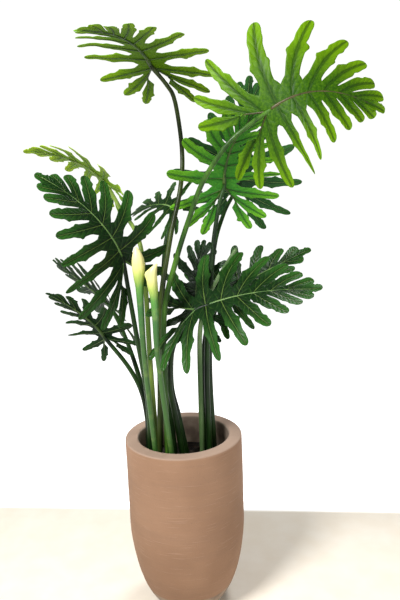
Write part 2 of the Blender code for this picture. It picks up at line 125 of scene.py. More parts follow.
class Finish:
    """A material with its shader, and the methods that fill it with nodes."""

    def __init__(self, name, same_all_over):
        self.material = bpy.data.materials.new(name)
        self.material.use_nodes = True
        self.tree = self.material.node_tree
        self.shader = self.tree.nodes["Principled BSDF"]
        for socket, value in same_all_over.items():
            self.shader.inputs[socket].default_value = value

    def fill(self, socket, value):
        if isinstance(value, Value):
            self.tree.links.new(value.socket, socket)
        elif isinstance(value, tuple) and len(value) == 3 and socket.type == "RGBA":
            socket.default_value = (*value, 1.0)
        else:
            socket.default_value = value

    def add(self, kind, settings, inputs, output=0):
        node = self.tree.nodes.new(kind)
        for name, value in settings.items():
            if name == "stops":
                for stop, (place, colour) in zip(self.stops(node, len(value)), value):
                    stop.position = place
                    stop.color = (*colour, 1.0)
            else:
                setattr(node, name, value)
        for key, value in inputs.items():
            self.fill(node.inputs[key], value)
        return Value(self, node.outputs[output])

    def stops(self, node, count):
        while len(node.color_ramp.elements) < count:
            node.color_ramp.elements.new(1.0)
        return node.color_ramp.elements

    def place(self, stretch=(1.0, 1.0, 1.0)):
        """Object coordinates, stretched along the axes."""
        here = self.add("ShaderNodeTexCoord", {}, {}, "Object")
        return self.add("ShaderNodeMapping", {}, {"Vector": here, "Scale": stretch})

    def grid(self):
        """The piece's own coordinates: across it, then along it, each from 0 to 1."""
        here = self.add("ShaderNodeUVMap", {"uv_map": "grid"}, {})
        return self.part(here, "X"), self.part(here, "Y")

    def part(self, vector, axis):
        """One number of a vector."""
        return self.add("ShaderNodeSeparateXYZ", {}, {0: vector}, axis)

    def reach(self, vector):
        """The length of a vector."""
        return self.add("ShaderNodeVectorMath", {"operation": "LENGTH"}, {0: vector}, "Value")

    def cloud(self, scale, detail=3.0, stretch=(1.0, 1.0, 1.0)):
        inputs = {"Vector": self.place(stretch), "Scale": scale, "Detail": detail}
        return self.add("ShaderNodeTexNoise", {}, inputs, 0)

    def step(self, value, low, high):
        """0 below low, 1 above high and a soft rise between them."""
        settings = {"interpolation_type": "SMOOTHSTEP"}
        inputs = {"Value": value, "From Min": low, "From Max": high}
        return self.add("ShaderNodeMapRange", settings, inputs)

    def blend(self, mask, first, second):
        settings = {"data_type": "RGBA"}
        inputs = {MIX_FACTOR: mask, MIX_FIRST: first, MIX_SECOND: second}
        return self.add("ShaderNodeMix", settings, inputs, MIX_OUT)

    def finish(self, colour, roughness, height, depth):
        """The colour, the roughness and the relief, whose full height is depth in metres."""
        relief = {"Strength": 1.0, "Distance": depth, "Height": height}
        normal = self.add("ShaderNodeBump", {}, relief)
        self.fill(self.shader.inputs["Base Color"], colour)
        self.fill(self.shader.inputs["Roughness"], roughness)
        self.fill(self.shader.inputs["Normal"], normal)
        return self.material


print("helpers ready")

# %% [markdown]
# ## Floor and light
# The plant stands on a pale floor in a bright room, and behind it everything runs out to white. One
# large sheet is the floor. It is cream round the pot and turns white past a line half a metre behind
# the foot, and further out on all sides, where it also glows, so that it has no end to see. The white
# world lights the plant weakly from all round, and three large soft lamps give the leaves their form
# and their highlights.

# %% Lay the floor
FLOOR_SIDE = 16.0
FLOOR_BELOW_FOOT = 0.0005
WHITE_LINE_FROM = 0.52
WHITE_LINE_TO = 0.56
WHITE_LINE_SLANT = 0.10
FADE_FROM = 1.3
FADE_TO = 2.3
FLOOR_GLOW = 0.8
CREAM = (0.82, 0.74, 0.62)
PALE_CREAM = (0.86, 0.80, 0.70)
NEARLY_WHITE = (0.95, 0.95, 0.95)
BLACK = (0.0, 0.0, 0.0)
WHITE = (1.0, 1.0, 1.0)


def mesh_of(name, work):
    """What a bmesh holds, as a mesh. It ends the bmesh."""
    mesh = bpy.data.meshes.new(name)
    work.to_mesh(mesh)
    work.free()
    return mesh


work = bmesh.new()
bmesh.ops.create_grid(work, x_segments=8, y_segments=8, size=FLOOR_SIDE / 2)
floor = put("floor", mesh_of("floor", work))
floor.location.z = -FLOOR_BELOW_FOOT

stone = Finish("floor", {"Specular IOR Level": 0.25, "Emission Strength": FLOOR_GLOW})
spot = stone.place()
slanted = stone.part(spot, "Y") + stone.part(spot, "X") * WHITE_LINE_SLANT
behind = stone.step(slanted, WHITE_LINE_FROM, WHITE_LINE_TO)
white = behind.math("MAXIMUM", stone.step(stone.reach(spot), FADE_FROM, FADE_TO))
mottled = stone.blend(stone.step(stone.cloud(9.0, 6.0), 0.2, 0.8), CREAM, PALE_CREAM)
stone.fill(stone.shader.inputs["Emission Color"], stone.blend(white, BLACK, WHITE))
floor_colour = stone.blend(white, mottled, NEARLY_WHITE)
floor.data.materials.append(stone.finish(floor_colour, 0.55, stone.cloud(40.0), 0.0004))
print("floor", FLOOR_SIDE, "m across")

# %% Hang the lamps
LAMPS = (
    ("key", (-1.4, -1.7, 3.1), 0.9, 150.0),
    ("fill", (1.9, -2.3, 1.2), 1.4, 22.0),
    ("back", (1.1, 2.0, 3.0), 1.3, 60.0),
)
AIMED_AT = Vector((0.0, 0.0, 1.1))
ROOM_COLOUR = (1.0, 1.0, 0.985, 1.0)
ROOM_LIGHT = 0.25
ROOM_SEEN = 1.05


def hang_lamp(name, at, size, power):
    lamp = put(name, bpy.data.lights.new(name, "AREA"))
    lamp.data.shape = "DISK"
    lamp.data.size = size
    lamp.data.energy = power
    aim = (AIMED_AT - Vector(at)).to_track_quat("-Z", "Y")
    lamp.matrix_world = Matrix.Translation(at) @ aim.to_matrix().to_4x4()


for name, at, size, power in LAMPS:
    hang_lamp(name, at, size, power)
room = bpy.data.worlds.new("room")
room.use_nodes = True
background = room.node_tree.nodes["Background"]
background.inputs["Color"].default_value = ROOM_COLOUR
# The camera sees a white room, and the plant gets less of its light, so that dark leaves stay dark.
seen = room.node_tree.nodes.new("ShaderNodeLightPath")
strength = room.node_tree.nodes.new("ShaderNodeMapRange")
strength.inputs["To Min"].default_value = ROOM_LIGHT
strength.inputs["To Max"].default_value = ROOM_SEEN
room.node_tree.links.new(seen.outputs["Is Camera Ray"], strength.inputs["Value"])
room.node_tree.links.new(strength.outputs[0], background.inputs["Strength"])
bpy.context.scene.world = room
bpy.context.scene.view_settings.view_transform = "Standard"
print("lamps:", len(LAMPS))

# %% [markdown]
# ## Bend a flat grid
# Nearly every part of a plant is a sheet: a lobe is a sheet with a rounded end, and a stalk is a sheet
# rolled into a tube. So one helper makes them all. It asks Blender for a flat grid, keeps the grid's
# own coordinates as a UV map for the materials, and moves every corner to where a function puts it.

# %% Make the grid helper
WELD = 0.00002


def bend_grid(work, columns, rows, slot, place):
    """A flat grid, with each corner moved to place(across, along), both from 0 to 1."""
    if not work.loops.layers.uv:
        work.loops.layers.uv.new("grid")
    made = bmesh.ops.create_grid(work, x_segments=columns, y_segments=rows, size=0.5, calc_uvs=True)
    for vert in made["verts"]:
        vert.co = place(vert.co.x + 0.5, vert.co.y + 0.5)
    faces = list({face for vert in made["verts"] for face in vert.link_faces})
    for face in faces:
        face.material_index = slot
        face.smooth = True
    return made["verts"], faces


def close_up(work, verts):
    """Welds the seam and the poles of a rolled grid, then turns its faces outwards."""
    bmesh.ops.remove_doubles(work, verts=verts, dist=WELD)
    faces = list({face for vert in verts if vert.is_valid for face in vert.link_faces})
    bmesh.ops.recalc_face_normals(work, faces=faces)


def clamp(value, low, high):
    return min(max(value, low), high)


def soft(value, low, high):
    """0 below low, 1 above high and a soft rise between, for the shapes."""
    share = clamp((value - low) / (high - low), 0.0, 1.0)
    return share * share * (3 - 2 * share)


test = bmesh.new()
_, test_faces = bend_grid(test, 4, 6, 0, lambda across, along: Vector((across, along, 0)))
print("a 4 by 6 grid has", len(test_faces), "faces")
test.free()

# %% [markdown]
# ## Runs for everything round
# A stalk, a rib and a bud are all a path with a radius at each point. A run keeps a pair of directions
# square to the path and carries them along, so that the rolled grid doesn't twist. Both ends close to
# a point.

# %% Make the run
class Run:
    """A path whose points' fourth number is the radius."""

    def __init__(self, points):
        self.points = [points[0]] + list(points) + [points[-1]]
        self.centres = [Vector(point[:3]) for point in self.points]
        self.rows = len(self.points) - 1
        self.frames = []
        side = None
        for row in range(self.rows + 1):
            before = self.centres[max(row - 2, 0)]
            after = self.centres[min(row + 2, self.rows)]
            tangent = (after - before).normalized()
            side = tangent.orthogonal() if side is None else side
            side = (side - tangent * side.dot(tangent)).normalized()
            self.frames.append((side, tangent.cross(side)))

    def around(self, turn, along, swell):
        """A corner of the rolled grid, whose radius is multiplied by swell(turn, along)."""
        row = round(along * self.rows)
        first, second = self.frames[row]
        angle = turn * math.tau
        radius = self.points[row][3] * swell(turn, along)
        if row in (0, self.rows):
            radius = 0.0
        return self.centres[row] + (first * math.cos(angle) + second * math.sin(angle)) * radius


def no_swell(turn, along):
    """Leaves the radius as it is."""
    return 1.0


def roll(work, points, columns, slot, swell=no_swell):
    """Adds a closed tube that follows the points."""
    run = Run(points)

    def place(turn, along):
        return run.around(turn, along, swell)

    verts, _ = bend_grid(work, columns, run.rows, slot, place)
    close_up(work, verts)


def catmull_point(before, start, end, after, share):
    """A point on the smooth curve that passes through start and end."""
    return 0.5 * (
        2 * start
        + (end - before) * share
        + (2 * before - 5 * start + 4 * end - after) * share**2
        + (3 * start - before - 3 * end + after) * share**3
    )


def smooth_path(points, step):
    """Points about one step apart on a smooth curve through the given ones."""
    ends = [points[0] * 2 - points[1]] + list(points) + [points[-1] * 2 - points[-2]]
    made = []
    for i in range(1, len(ends) - 2):
        count = max(1, round((ends[i + 1] - ends[i]).length / step))
        for k in range(count):
            made.append(catmull_point(ends[i - 1], ends[i], ends[i + 1], ends[i + 2], k / count))
    made.append(points[-1])
    return made


print("runs ready")

# %% [markdown]
# ## The leaf as numbers
# A leaf of this plant has a pattern. Each side has a row of lobes, long near the stalk and short near
# the tip, and the hindmost ones grow from two bare ribs behind the base. A lobe is written down as
# where it starts, the angle of its vein and its length. The midrib is a curve through three points in
# the room, and the leaf folds up a little at the midrib and droops towards its edge.

# %% Write down the leaf's pattern
# A lobe starts at a share of the midrib, or at a negative share out along the bare basal rib.
# Then come its angle from the midrib in degrees and its length as a share of the midrib.
LARGE_LEAF_LOBES = (
    (-0.19, 163, 0.44),
    (-0.11, 137, 0.54),
    (-0.03, 112, 0.64),
    (0.10, 91, 0.66),
    (0.24, 76, 0.60),
    (0.38, 63, 0.50),
    (0.51, 52, 0.40),
    (0.64, 42, 0.30),
    (0.76, 33, 0.22),
)
SMALL_LEAF_LOBES = (
    (-0.17, 158, 0.44),
    (-0.06, 122, 0.58),
    (0.09, 94, 0.64),
    (0.26, 74, 0.56),
    (0.43, 58, 0.44),
    (0.60, 44, 0.31),
    (0.75, 33, 0.22),
)
TERMINAL_LOBE_FROM = 0.81
TERMINAL_LOBE = (TERMINAL_LOBE_FROM, 0, 1.0 - TERMINAL_LOBE_FROM)
print("lobes on a side:", len(LARGE_LEAF_LOBES), "or", len(SMALL_LEAF_LOBES))

# %% Write down where each leaf stands
# middle, tip and base are points on the midrib, and facing is the way that the upper side looks.
# spread scales the lobes of the left and of the right. path runs from the soil to the blade's base.
LEAVES = {
    "leaf_top_left": {
        "lobes": LARGE_LEAF_LOBES, "green": "leaf_light",
        "base": (-0.045, 0.020, 1.805), "middle": (-0.110, -0.120, 1.850), "tip": (-0.215, -0.280, 1.830),
        "facing": (0.10, 0.02, 0.99), "fold": 0.10, "droop": 0.12, "spread": (0.90, 0.96),
        "foot": (-0.085, -0.050),
        "path": (
            (-0.070, -0.045, 0.740), (-0.055, -0.040, 1.040), (-0.015, 0.000, 1.265),
            (0.025, 0.060, 1.430), (0.035, 0.100, 1.555), (0.020, 0.075, 1.705),
            (-0.005, 0.045, 1.755),
        ),
    },
    "leaf_top_right": {
        "lobes": LARGE_LEAF_LOBES, "green": "leaf_light",
        "base": (0.285, -0.180, 1.625), "middle": (0.435, -0.210, 1.670), "tip": (0.620, -0.160, 1.615),
        "facing": (0.12, -0.96, 0.25), "fold": 0.04, "droop": 0.18, "spread": (1.03, 0.92),
        "foot": (-0.050, -0.085),
        "path": (
            (-0.050, -0.085, 0.755), (-0.040, -0.090, 1.035), (0.005, -0.100, 1.205),
            (0.060, -0.125, 1.355), (0.100, -0.145, 1.445), (0.165, -0.175, 1.535),
            (0.225, -0.185, 1.585),
        ),
    },
    "leaf_upper_middle": {
        "lobes": LARGE_LEAF_LOBES, "green": "leaf_mid",
        "base": (0.170, 0.080, 1.430), "middle": (0.200, 0.010, 1.560), "tip": (0.300, -0.080, 1.670),
        "facing": (-0.12, 0.70, 0.70), "fold": 0.08, "droop": 0.20, "spread": (0.90, 0.90),
        "foot": (0.088, -0.010),
        "path": (
            (0.090, 0.010, 0.855), (0.120, 0.050, 1.190), (0.150, 0.070, 1.365),
        ),
    },
    "leaf_upper_back": {
        "lobes": SMALL_LEAF_LOBES, "green": "leaf_dark",
        "base": (0.230, 0.270, 1.435), "middle": (0.250, 0.250, 1.595), "tip": (0.275, 0.180, 1.800),
        "facing": (-0.05, 0.80, 0.55), "fold": 0.10, "droop": 0.15, "spread": (1.00, 1.00),
        "foot": (0.104, 0.022),
        "path": (
            (0.100, 0.055, 0.840), (0.125, 0.110, 1.185), (0.170, 0.190, 1.335),
        ),
    },
    "leaf_left": {
        "lobes": LARGE_LEAF_LOBES, "green": "leaf_dark",
        "base": (-0.155, -0.100, 1.215), "middle": (-0.230, -0.160, 1.360), "tip": (-0.375, -0.210, 1.480),
        "facing": (0.35, -0.75, 0.58), "fold": 0.12, "droop": 0.15, "spread": (0.96, 0.74),
        "foot": (-0.112, -0.045),
        "path": (
            (-0.110, -0.055, 0.745), (-0.135, -0.070, 0.985), (-0.150, -0.085, 1.135),
        ),
    },
    "leaf_left_back": {
        "lobes": SMALL_LEAF_LOBES, "green": "leaf_light",
        "base": (-0.225, 0.130, 1.455), "middle": (-0.340, 0.140, 1.540), "tip": (-0.515, 0.180, 1.580),
        "facing": (0.40, 0.35, 0.80), "fold": 0.03, "droop": 0.40, "spread": (0.78, 0.78),
        "foot": (-0.098, 0.035),
        "path": (
            (-0.105, 0.045, 0.815), (-0.110, 0.070, 1.130), (-0.130, 0.110, 1.275),
            (-0.185, 0.130, 1.370),
        ),
    },
    "leaf_right": {
        "lobes": LARGE_LEAF_LOBES, "green": "leaf_dark",
        "base": (0.060, -0.090, 1.050), "middle": (0.235, -0.120, 1.100), "tip": (0.445, -0.160, 1.110),
        "facing": (-0.23, -0.54, 0.81), "fold": 0.12, "droop": 0.21, "spread": (0.92, 0.92),
        "foot": (0.000, -0.035),
        "path": (
            (-0.020, -0.045, 0.665), (-0.035, -0.055, 0.795), (-0.020, -0.070, 0.915),
            (0.020, -0.080, 1.000),
        ),
    },
    "leaf_middle_small": {
        "lobes": SMALL_LEAF_LOBES, "green": "leaf_dark",
        "base": (-0.005, 0.150, 1.365), "middle": (-0.070, 0.190, 1.380), "tip": (-0.170, 0.300, 1.350),
        "facing": (-0.45, -0.40, 0.80), "fold": 0.12, "droop": 0.28, "spread": (0.98, 1.15),
        "foot": (-0.035, 0.045),
        "path": (
            (-0.055, 0.070, 0.790), (-0.055, 0.090, 1.020), (-0.040, 0.120, 1.225),
        ),
    },
    "leaf_centre_back": {
        "lobes": SMALL_LEAF_LOBES, "green": "leaf_dark",
        "base": (0.060, 0.110, 1.020), "middle": (0.070, 0.140, 1.130), "tip": (0.100, 0.180, 1.250),
        "facing": (-0.20, -0.88, 0.42), "fold": 0.12, "droop": 0.12, "spread": (1.15, 1.15),
        "foot": (0.010, 0.012),
        "path": (
            (-0.015, 0.015, 0.660), (-0.035, 0.035, 0.765), (-0.025, 0.070, 0.895),
            (0.015, 0.110, 0.975),
        ),
    },
    "leaf_right_back": {
        "lobes": SMALL_LEAF_LOBES, "green": "leaf_dark",
        "base": (0.155, 0.190, 1.040), "middle": (0.295, 0.200, 1.115), "tip": (0.485, 0.210, 1.200),
        "facing": (-0.15, -0.75, 0.65), "fold": 0.15, "droop": 0.10, "spread": (0.80, 0.80),
        "foot": (0.072, 0.034),
        "path": (
            (0.080, 0.045, 0.845), (0.100, 0.110, 0.955),
        ),
    },
    "leaf_low_left": {
        "lobes": SMALL_LEAF_LOBES, "green": "leaf_dark",
        "base": (-0.245, -0.010, 0.955), "middle": (-0.305, -0.050, 1.040), "tip": (-0.410, -0.080, 1.120),
        "facing": (0.25, 0.66, 0.71), "fold": 0.18, "droop": 0.20, "spread": (0.80, 1.02),
        "foot": (-0.122, -0.005),
        "path": (
            (-0.120, -0.005, 0.650), (-0.135, -0.010, 0.760), (-0.175, -0.010, 0.850),
        ),
    },
    "leaf_low_left_back": {
        "lobes": SMALL_LEAF_LOBES, "green": "leaf_dark",
        "base": (-0.240, 0.150, 1.020), "middle": (-0.345, 0.240, 1.095), "tip": (-0.480, 0.300, 1.185),
        "facing": (0.60, 0.50, 0.60), "fold": 0.05, "droop": 0.15, "spread": (1.05, 1.05),
        "foot": (-0.105, 0.075),
        "path": (
            (-0.150, 0.090, 0.770), (-0.200, 0.130, 0.925),
        ),
    },
}

print("leaves:", len(LEAVES))

# %% [markdown]
# ## From the flat leaf into the room
# The lobes are drawn on a flat leaf, with the midrib as one axis. This class then carries each flat
# point into the room. It is the same rule that shaped the solid leaf, so the fine leaf lies where the
# solid one was.

# %% Make the blade's map
ARC_STEPS = 24


class Blade:
    """Maps the flat leaf onto the arched, folded, drooping blade."""

    def __init__(self, leaf):
        self.base = Vector(leaf["base"])
        self.middle = Vector(leaf["middle"])
        self.tip = Vector(leaf["tip"])
        self.facing = Vector(leaf["facing"]).normalized()
        self.fold = leaf["fold"]
        self.droop = leaf["droop"]
        points = [self.midrib(i / ARC_STEPS) for i in range(ARC_STEPS + 1)]
        self.length = sum((b - a).length for a, b in zip(points, points[1:]))

    def slope(self, share):
        along = share * 2
        return (
            self.base * (2 * along - 3) + self.middle * (4 - 4 * along) + self.tip * (2 * along - 1)
        )

    def midrib(self, share):
        """A parabola through base, middle and tip, going on straight past both ends."""
        held = clamp(share, 0.0, 1.0)
        along = held * 2
        point = (
            self.base * ((along - 1) * (along - 2) / 2)
            + self.middle * (along * (2 - along))
            + self.tip * (along * (along - 1) / 2)
        )
        return point + self.slope(held) * (share - held)

    def up(self, share):
        forward = self.slope(clamp(share, 0.0, 1.0)).normalized()
        return (self.facing - forward * self.facing.dot(forward)).normalized()

    def place(self, flat, lift=0.0):
        """Where a flat point goes, raised off the blade by lift, in metres."""
        along = flat.x / self.length
        up = self.up(along)
        left = up.cross(self.slope(clamp(along, 0.0, 1.0)).normalized())
        across = abs(flat.y) / self.length
        behind = max(-along, 0.0)
        height = self.fold * across - self.droop * (across**2 + behind**2)
        return self.midrib(along) + left * flat.y + up * (height * self.length + lift)


print("longest blade:", max(round(Blade(leaf).length, 3) for leaf in LEAVES.values()), "m")

# %% [markdown]
# ## The outline of a lobe
# Up to the notch a lobe shares its edge with its neighbour. Past the notch it swells to a blunt tooth
# about half way out, narrows and ends in a round tip. No two lobes are the same, so the tooth's place
# and size are drawn at random from a fixed seed.

# %% Run the veins
RIB_ANGLE = 148.0
LOBE_SWEEP = 14.0
SIDES = (1, -1)


def spine_point(length, share, side):
    """A point on the midrib, or on the basal rib of one side where the share is negative."""
    if share >= 0:
        return Vector((share * length, 0.0))
    angle = math.radians(RIB_ANGLE)
    return Vector((math.cos(angle), side * math.sin(angle))) * (-share * length)


def lobe_axis(length, lobe, side, along):
    """A point on the vein of a lobe, which sweeps forward as it runs out, and its direction there."""
    start, angle, reach = lobe
    turned = math.radians(angle - LOBE_SWEEP * along * 0.5)
    heading = Vector((math.cos(turned), side * math.sin(turned)))
    return spine_point(length, start, side) + heading * (reach * length * along), heading


def web_share(lobe, after):
    """Where two neighbouring lobes part on the spine. Two with the base between them part at the base."""
    if lobe[0] < 0 < after[0]:
        return 0.0
    return (lobe[0] + after[0]) / 2 if after[1] else after[0]


print("a vein sweeps forward by", LOBE_SWEEP, "degrees")

# %% Draw the edge
LOBE_ROWS = 36
NOTCH_ROWS = 6
SINUS_AT = 0.20
TIP_FROM = 0.88
CROWD = 1.25


def lobe_widths(dice):
    """Stations along one edge and the half width at each, as a share of the blade's length."""
    tooth = dice.uniform(0.46, 0.62)
    high = dice.uniform(0.062, 0.078)
    second = dice.uniform(0.74, 0.82)
    bump = dice.uniform(0.042, 0.052)
    return (
        (SINUS_AT, 0.056),
        (0.34, 0.052),
        (tooth - 0.08, 0.056),
        (tooth, high),
        (tooth + 0.055, high * 0.76),
        (second - 0.06, 0.041),
        (second, bump),
        (TIP_FROM, 0.039),
        (1.01, 0.036),
    )


def half_width(stations, along):
    """The half width between the stations, with soft turns."""
    for (near, first), (far, second) in zip(stations, stations[1:]):
        if along <= far:
            return first + (second - first) * soft(along, near, far)
    return stations[-1][1]


def tip_rounding(along):
    """What the width is multiplied by, so that the tip ends round."""
    past = clamp((along - TIP_FROM) / (1 - TIP_FROM), 0.0, 1.0)
    return math.sqrt(max(1 - past**2, 0.0))


def row_share(row):
    """Even rows up to the notch, even ones past it, and crowded ones at the round tip."""
    if row <= NOTCH_ROWS:
        return SINUS_AT * row / NOTCH_ROWS
    past = (row - NOTCH_ROWS) / (LOBE_ROWS - NOTCH_ROWS)
    return SINUS_AT + (1 - SINUS_AT) * (1 - (1 - past) ** CROWD)


print("a lobe has", LOBE_ROWS, "rows, the last at", row_share(LOBE_ROWS))

# %% Make a lobe
NOTCH_SOFTNESS = 0.07
NEIGHBOUR_SHARE = 0.44
INNER_WEB = 0.03


class Lobe:
    """One lobe on the flat leaf."""

    def __init__(self, length, lobe, before, after, side, dice):
        self.length = length
        self.lobe = lobe
        self.side = side
        self.neighbours = (before, after)
        self.widths = (lobe_widths(dice), lobe_widths(dice))
        self.curl = dice.uniform(-1.0, 1.0)
        vein = self.vein(SINUS_AT)
        self.notches = [self.notch(vein, other, way) for way, other in enumerate(self.neighbours)]

    def vein(self, along):
        return lobe_axis(self.length, self.lobe, self.side, along)[0]

    def notch(self, vein, neighbour, way):
        """The ends of the shared edge: on the spine, and at the notch between two lobes."""
        if neighbour is None:
            spine = spine_point(self.length, self.lobe[0] - INNER_WEB, self.side)
            return spine, self.edge(SINUS_AT, way)
        pair = (neighbour, self.lobe) if way == 0 else (self.lobe, neighbour)
        spine = spine_point(self.length, web_share(*pair), self.side)
        other = lobe_axis(self.length, neighbour, self.side, SINUS_AT)[0]
        return spine, (vein + other) / 2

    def edge(self, along, way):
        """The free edge past the notch."""
        point, heading = lobe_axis(self.length, self.lobe, self.side, along)
        half = half_width(self.widths[way], along) * self.length
        neighbour = self.neighbours[way]
        if neighbour:
            away = lobe_axis(self.length, neighbour, self.side, along)[0] - point
            half = min(half, NEIGHBOUR_SHARE * abs(heading.cross(away)))
        turn = self.side if way == 0 else -self.side
        return point + Vector((-heading.y, heading.x)) * (turn * half * tip_rounding(along))

    def border(self, along, way):
        """The whole edge: shared up to the notch and free past it."""
        spine, notch = self.notches[way]
        if along <= SINUS_AT:
            return spine.lerp(notch, along / SINUS_AT)
        free = self.edge(along, way)
        leaving = soft(along, SINUS_AT, SINUS_AT + NOTCH_SOFTNESS)
        held = notch + self.vein(along) - self.vein(SINUS_AT)
        return held.lerp(free, leaving)

    def flat(self, across, along):
        """across runs from -1 at the edge nearest the stalk to 1 at the other."""
        vein = self.vein(along)
        return vein.lerp(self.border(along, 0 if across < 0 else 1), abs(across))


print("an edge takes", NEIGHBOUR_SHARE, "of the room to its neighbour at most")

# %% Make the lobe at the tip
TERMINAL_WIDTH = 0.8


class TerminalLobe(Lobe):
    """The lobe at the tip, with a notch shared with the last lobe of each side."""

    def __init__(self, length, lasts, dice):
        self.lasts = lasts
        super().__init__(length, TERMINAL_LOBE, None, None, 1, dice)

    def notch(self, vein, neighbour, way):
        other = lobe_axis(self.length, self.lasts[way], SIDES[way], SINUS_AT)[0]
        return spine_point(self.length, TERMINAL_LOBE_FROM, 1), (vein + other) / 2

    def vein(self, along):
        return Vector(((self.lobe[0] + self.lobe[2] * along) * self.length, 0.0))

    def edge(self, along, way):
        half = half_width(self.widths[way], along) * TERMINAL_WIDTH * self.length * tip_rounding(along)
        return self.vein(along) + Vector((0.0, half * SIDES[way]))


print("the lobe at the tip starts at", TERMINAL_LOBE_FROM)

# %% [markdown]
# ## Relief on the blade
# A blade isn't flat between its veins. Each lobe is a shallow trough with its vein at the bottom, its
# edge waves, and its tip curls a little up or down. The waves come from noise that is read at the flat
# point, so two lobes agree along the edge they share.

# %% Shape the blade
TROUGH = 0.11
TROUGH_FULL_AT = 0.55
GROOVE = 0.0011
GROOVE_WIDTH = 0.13
GROOVE_FADE = 0.6
WAVE = 0.0075
WAVE_FULL_AT = 0.7
WAVE_AT_VEIN = 0.35
WAVES_PER_METRE = 16.0
CURL = 0.016
LOBE_COLUMNS = 12
UPPER, UNDER, RIB, STALK = range(4)


def blade_lift(lobe, flat, across, along, seed):
    """How far a point stands off the blade."""
    half = (lobe.border(along, 0) - lobe.border(along, 1)).length / 2
    trough = TROUGH * half * across**2 * soft(along, SINUS_AT, TROUGH_FULL_AT)
    groove = -GROOVE * math.exp(-((across / GROOVE_WIDTH) ** 2)) * (1 - GROOVE_FADE * along)
    read = Vector((flat.x * WAVES_PER_METRE, flat.y * WAVES_PER_METRE, seed))
    edge_share = WAVE_AT_VEIN + (1 - WAVE_AT_VEIN) * abs(across)
    wave = WAVE * noise.noise(read) * soft(along, 0.0, WAVE_FULL_AT) * edge_share
    curl = CURL * lobe.curl * lobe.length * max(along - SINUS_AT, 0.0) ** 2
    return trough + groove + wave + curl


def add_lobe(work, blade, lobe, seed):
    """Adds one lobe's sheet, crowded towards its vein, with its upper side up."""

    def place(x, y):
        across = math.copysign(abs(2 * x - 1) ** CROWD, 2 * x - 1)
        along = row_share(round(y * LOBE_ROWS))
        flat = lobe.flat(across, along)
        return blade.place(flat, blade_lift(lobe, flat, across, along, seed))

    _, faces = bend_grid(work, LOBE_COLUMNS, LOBE_ROWS, UPPER, place)
    probe = max(faces, key=lambda face: face.calc_area())
    probe.normal_update()
    if probe.normal.dot(blade.up(lobe.lobe[0])) < 0:
        bmesh.ops.reverse_faces(work, faces=faces)


print("waves up to", WAVE * 1000, "mm high")

# %% Make the sheet thick
BLADE_THICKNESS = 0.0010


def leaf_lobes(leaf, blade, dice):
    """Each side's lobes from the stalk to the tip, and then the one at the tip."""
    made = []
    lasts = []
    for side, spread in zip(SIDES, leaf["spread"]):
        lobes = [(start, angle, reach * spread) for start, angle, reach in leaf["lobes"]]
        lasts.append(lobes[-1])
        for index, lobe in enumerate(lobes):
            before = lobes[index - 1] if index else None
            after = lobes[index + 1] if index + 1 < len(lobes) else TERMINAL_LOBE
            made.append(Lobe(blade.length, lobe, before, after, side, dice))
    made.append(TerminalLobe(blade.length, lasts, dice))
    return made


def thick_sheet(name, sheet):
    """The sheet with both its sides, the underside in its own material slot."""
    mesh = mesh_of(name, sheet)
    for _ in (UPPER, UNDER):
        mesh.materials.append(None)
    body = put(name, mesh)
    solid = body.modifiers.new("Thickness", "SOLIDIFY")
    solid.thickness = BLADE_THICKNESS
    solid.offset = 0.0
    solid.material_offset = 1
    solid.material_offset_rim = 0
    bpy.context.view_layer.update()
    graph = bpy.context.evaluated_depsgraph_get()
    thick = bpy.data.meshes.new_from_object(body.evaluated_get(graph))
    bpy.data.objects.remove(body, do_unlink=True)
    bpy.data.meshes.remove(mesh)
    return thick


print("blade", BLADE_THICKNESS * 1000, "mm thick")

# %% [markdown]
# ## Stalk, midrib and veins
# The stalk runs out of the soil into the blade and on under it as the midrib, getting thinner all the
# way. Two more ribs run out behind the base, and from the ribs one vein goes along the middle of each
# lobe. They stand out below the blade, as on the real leaf.

# %% Run the stalk
SOIL_TOP = 0.50
HOLE_DEPTH = 0.08
STEM_IN_HOLE = 0.98
STRAIGHT_ABOVE_SOIL = 0.02
STALK_RADIUS = 0.0105
STALK_TOP_RADIUS = 0.0065
STALK_SUNK = 0.55
STALK_STEP = 0.012
STALK_REACHES_UNDER = 0.14
MIDRIB_END_RADIUS = 0.0008
MIDRIB_REACH = 0.95
MIDRIB_TAPER = 0.7
RIDGES = ((5, 0.02), (8, 0.012))


def foot_line(foot, first):
    """Where a stem stands in the soil: the bottom of its hole, and a point just above the soil."""
    rise = first[2] - SOIL_TOP
    slope = Vector(((first[0] - foot[0]) / rise, (first[1] - foot[1]) / rise, 1.0))
    surface = Vector((foot[0], foot[1], SOIL_TOP))
    return surface - slope * HOLE_DEPTH * STEM_IN_HOLE, surface + slope * STRAIGHT_ABOVE_SOIL


def midrib_point(blade, share):
    """A point of the midrib below the blade, with its radius."""
    thinned = (share / MIDRIB_REACH) ** MIDRIB_TAPER
    radius = STALK_TOP_RADIUS + (MIDRIB_END_RADIUS - STALK_TOP_RADIUS) * thinned
    centre = blade.midrib(share) - blade.up(share) * (radius * STALK_SUNK)
    return Vector((*centre, radius))


def stalk_run(leaf, blade):
    """The stalk from its hole to the base of the blade, with a radius at each point."""
    bottom, above = foot_line(leaf["foot"], leaf["path"][0])
    bends = [above] + [Vector(point) for point in leaf["path"]] + [blade.base]
    runs = [(b - a).length for a, b in zip(bends, bends[1:])]
    rated = []
    done = 0.0
    for point, run in zip(bends, runs + [0.0]):
        radius = STALK_RADIUS + (STALK_TOP_RADIUS - STALK_RADIUS) * done / sum(runs)
        rated.append(Vector((*point, radius)))
        done += run
    rated[-1] -= Vector((*(blade.up(0.0) * STALK_TOP_RADIUS * STALK_SUNK), 0.0))
    under = midrib_point(blade, STALK_REACHES_UNDER)
    made = smooth_path(rated + [under], STALK_STEP)
    return [Vector((*bottom, STALK_RADIUS))] + made


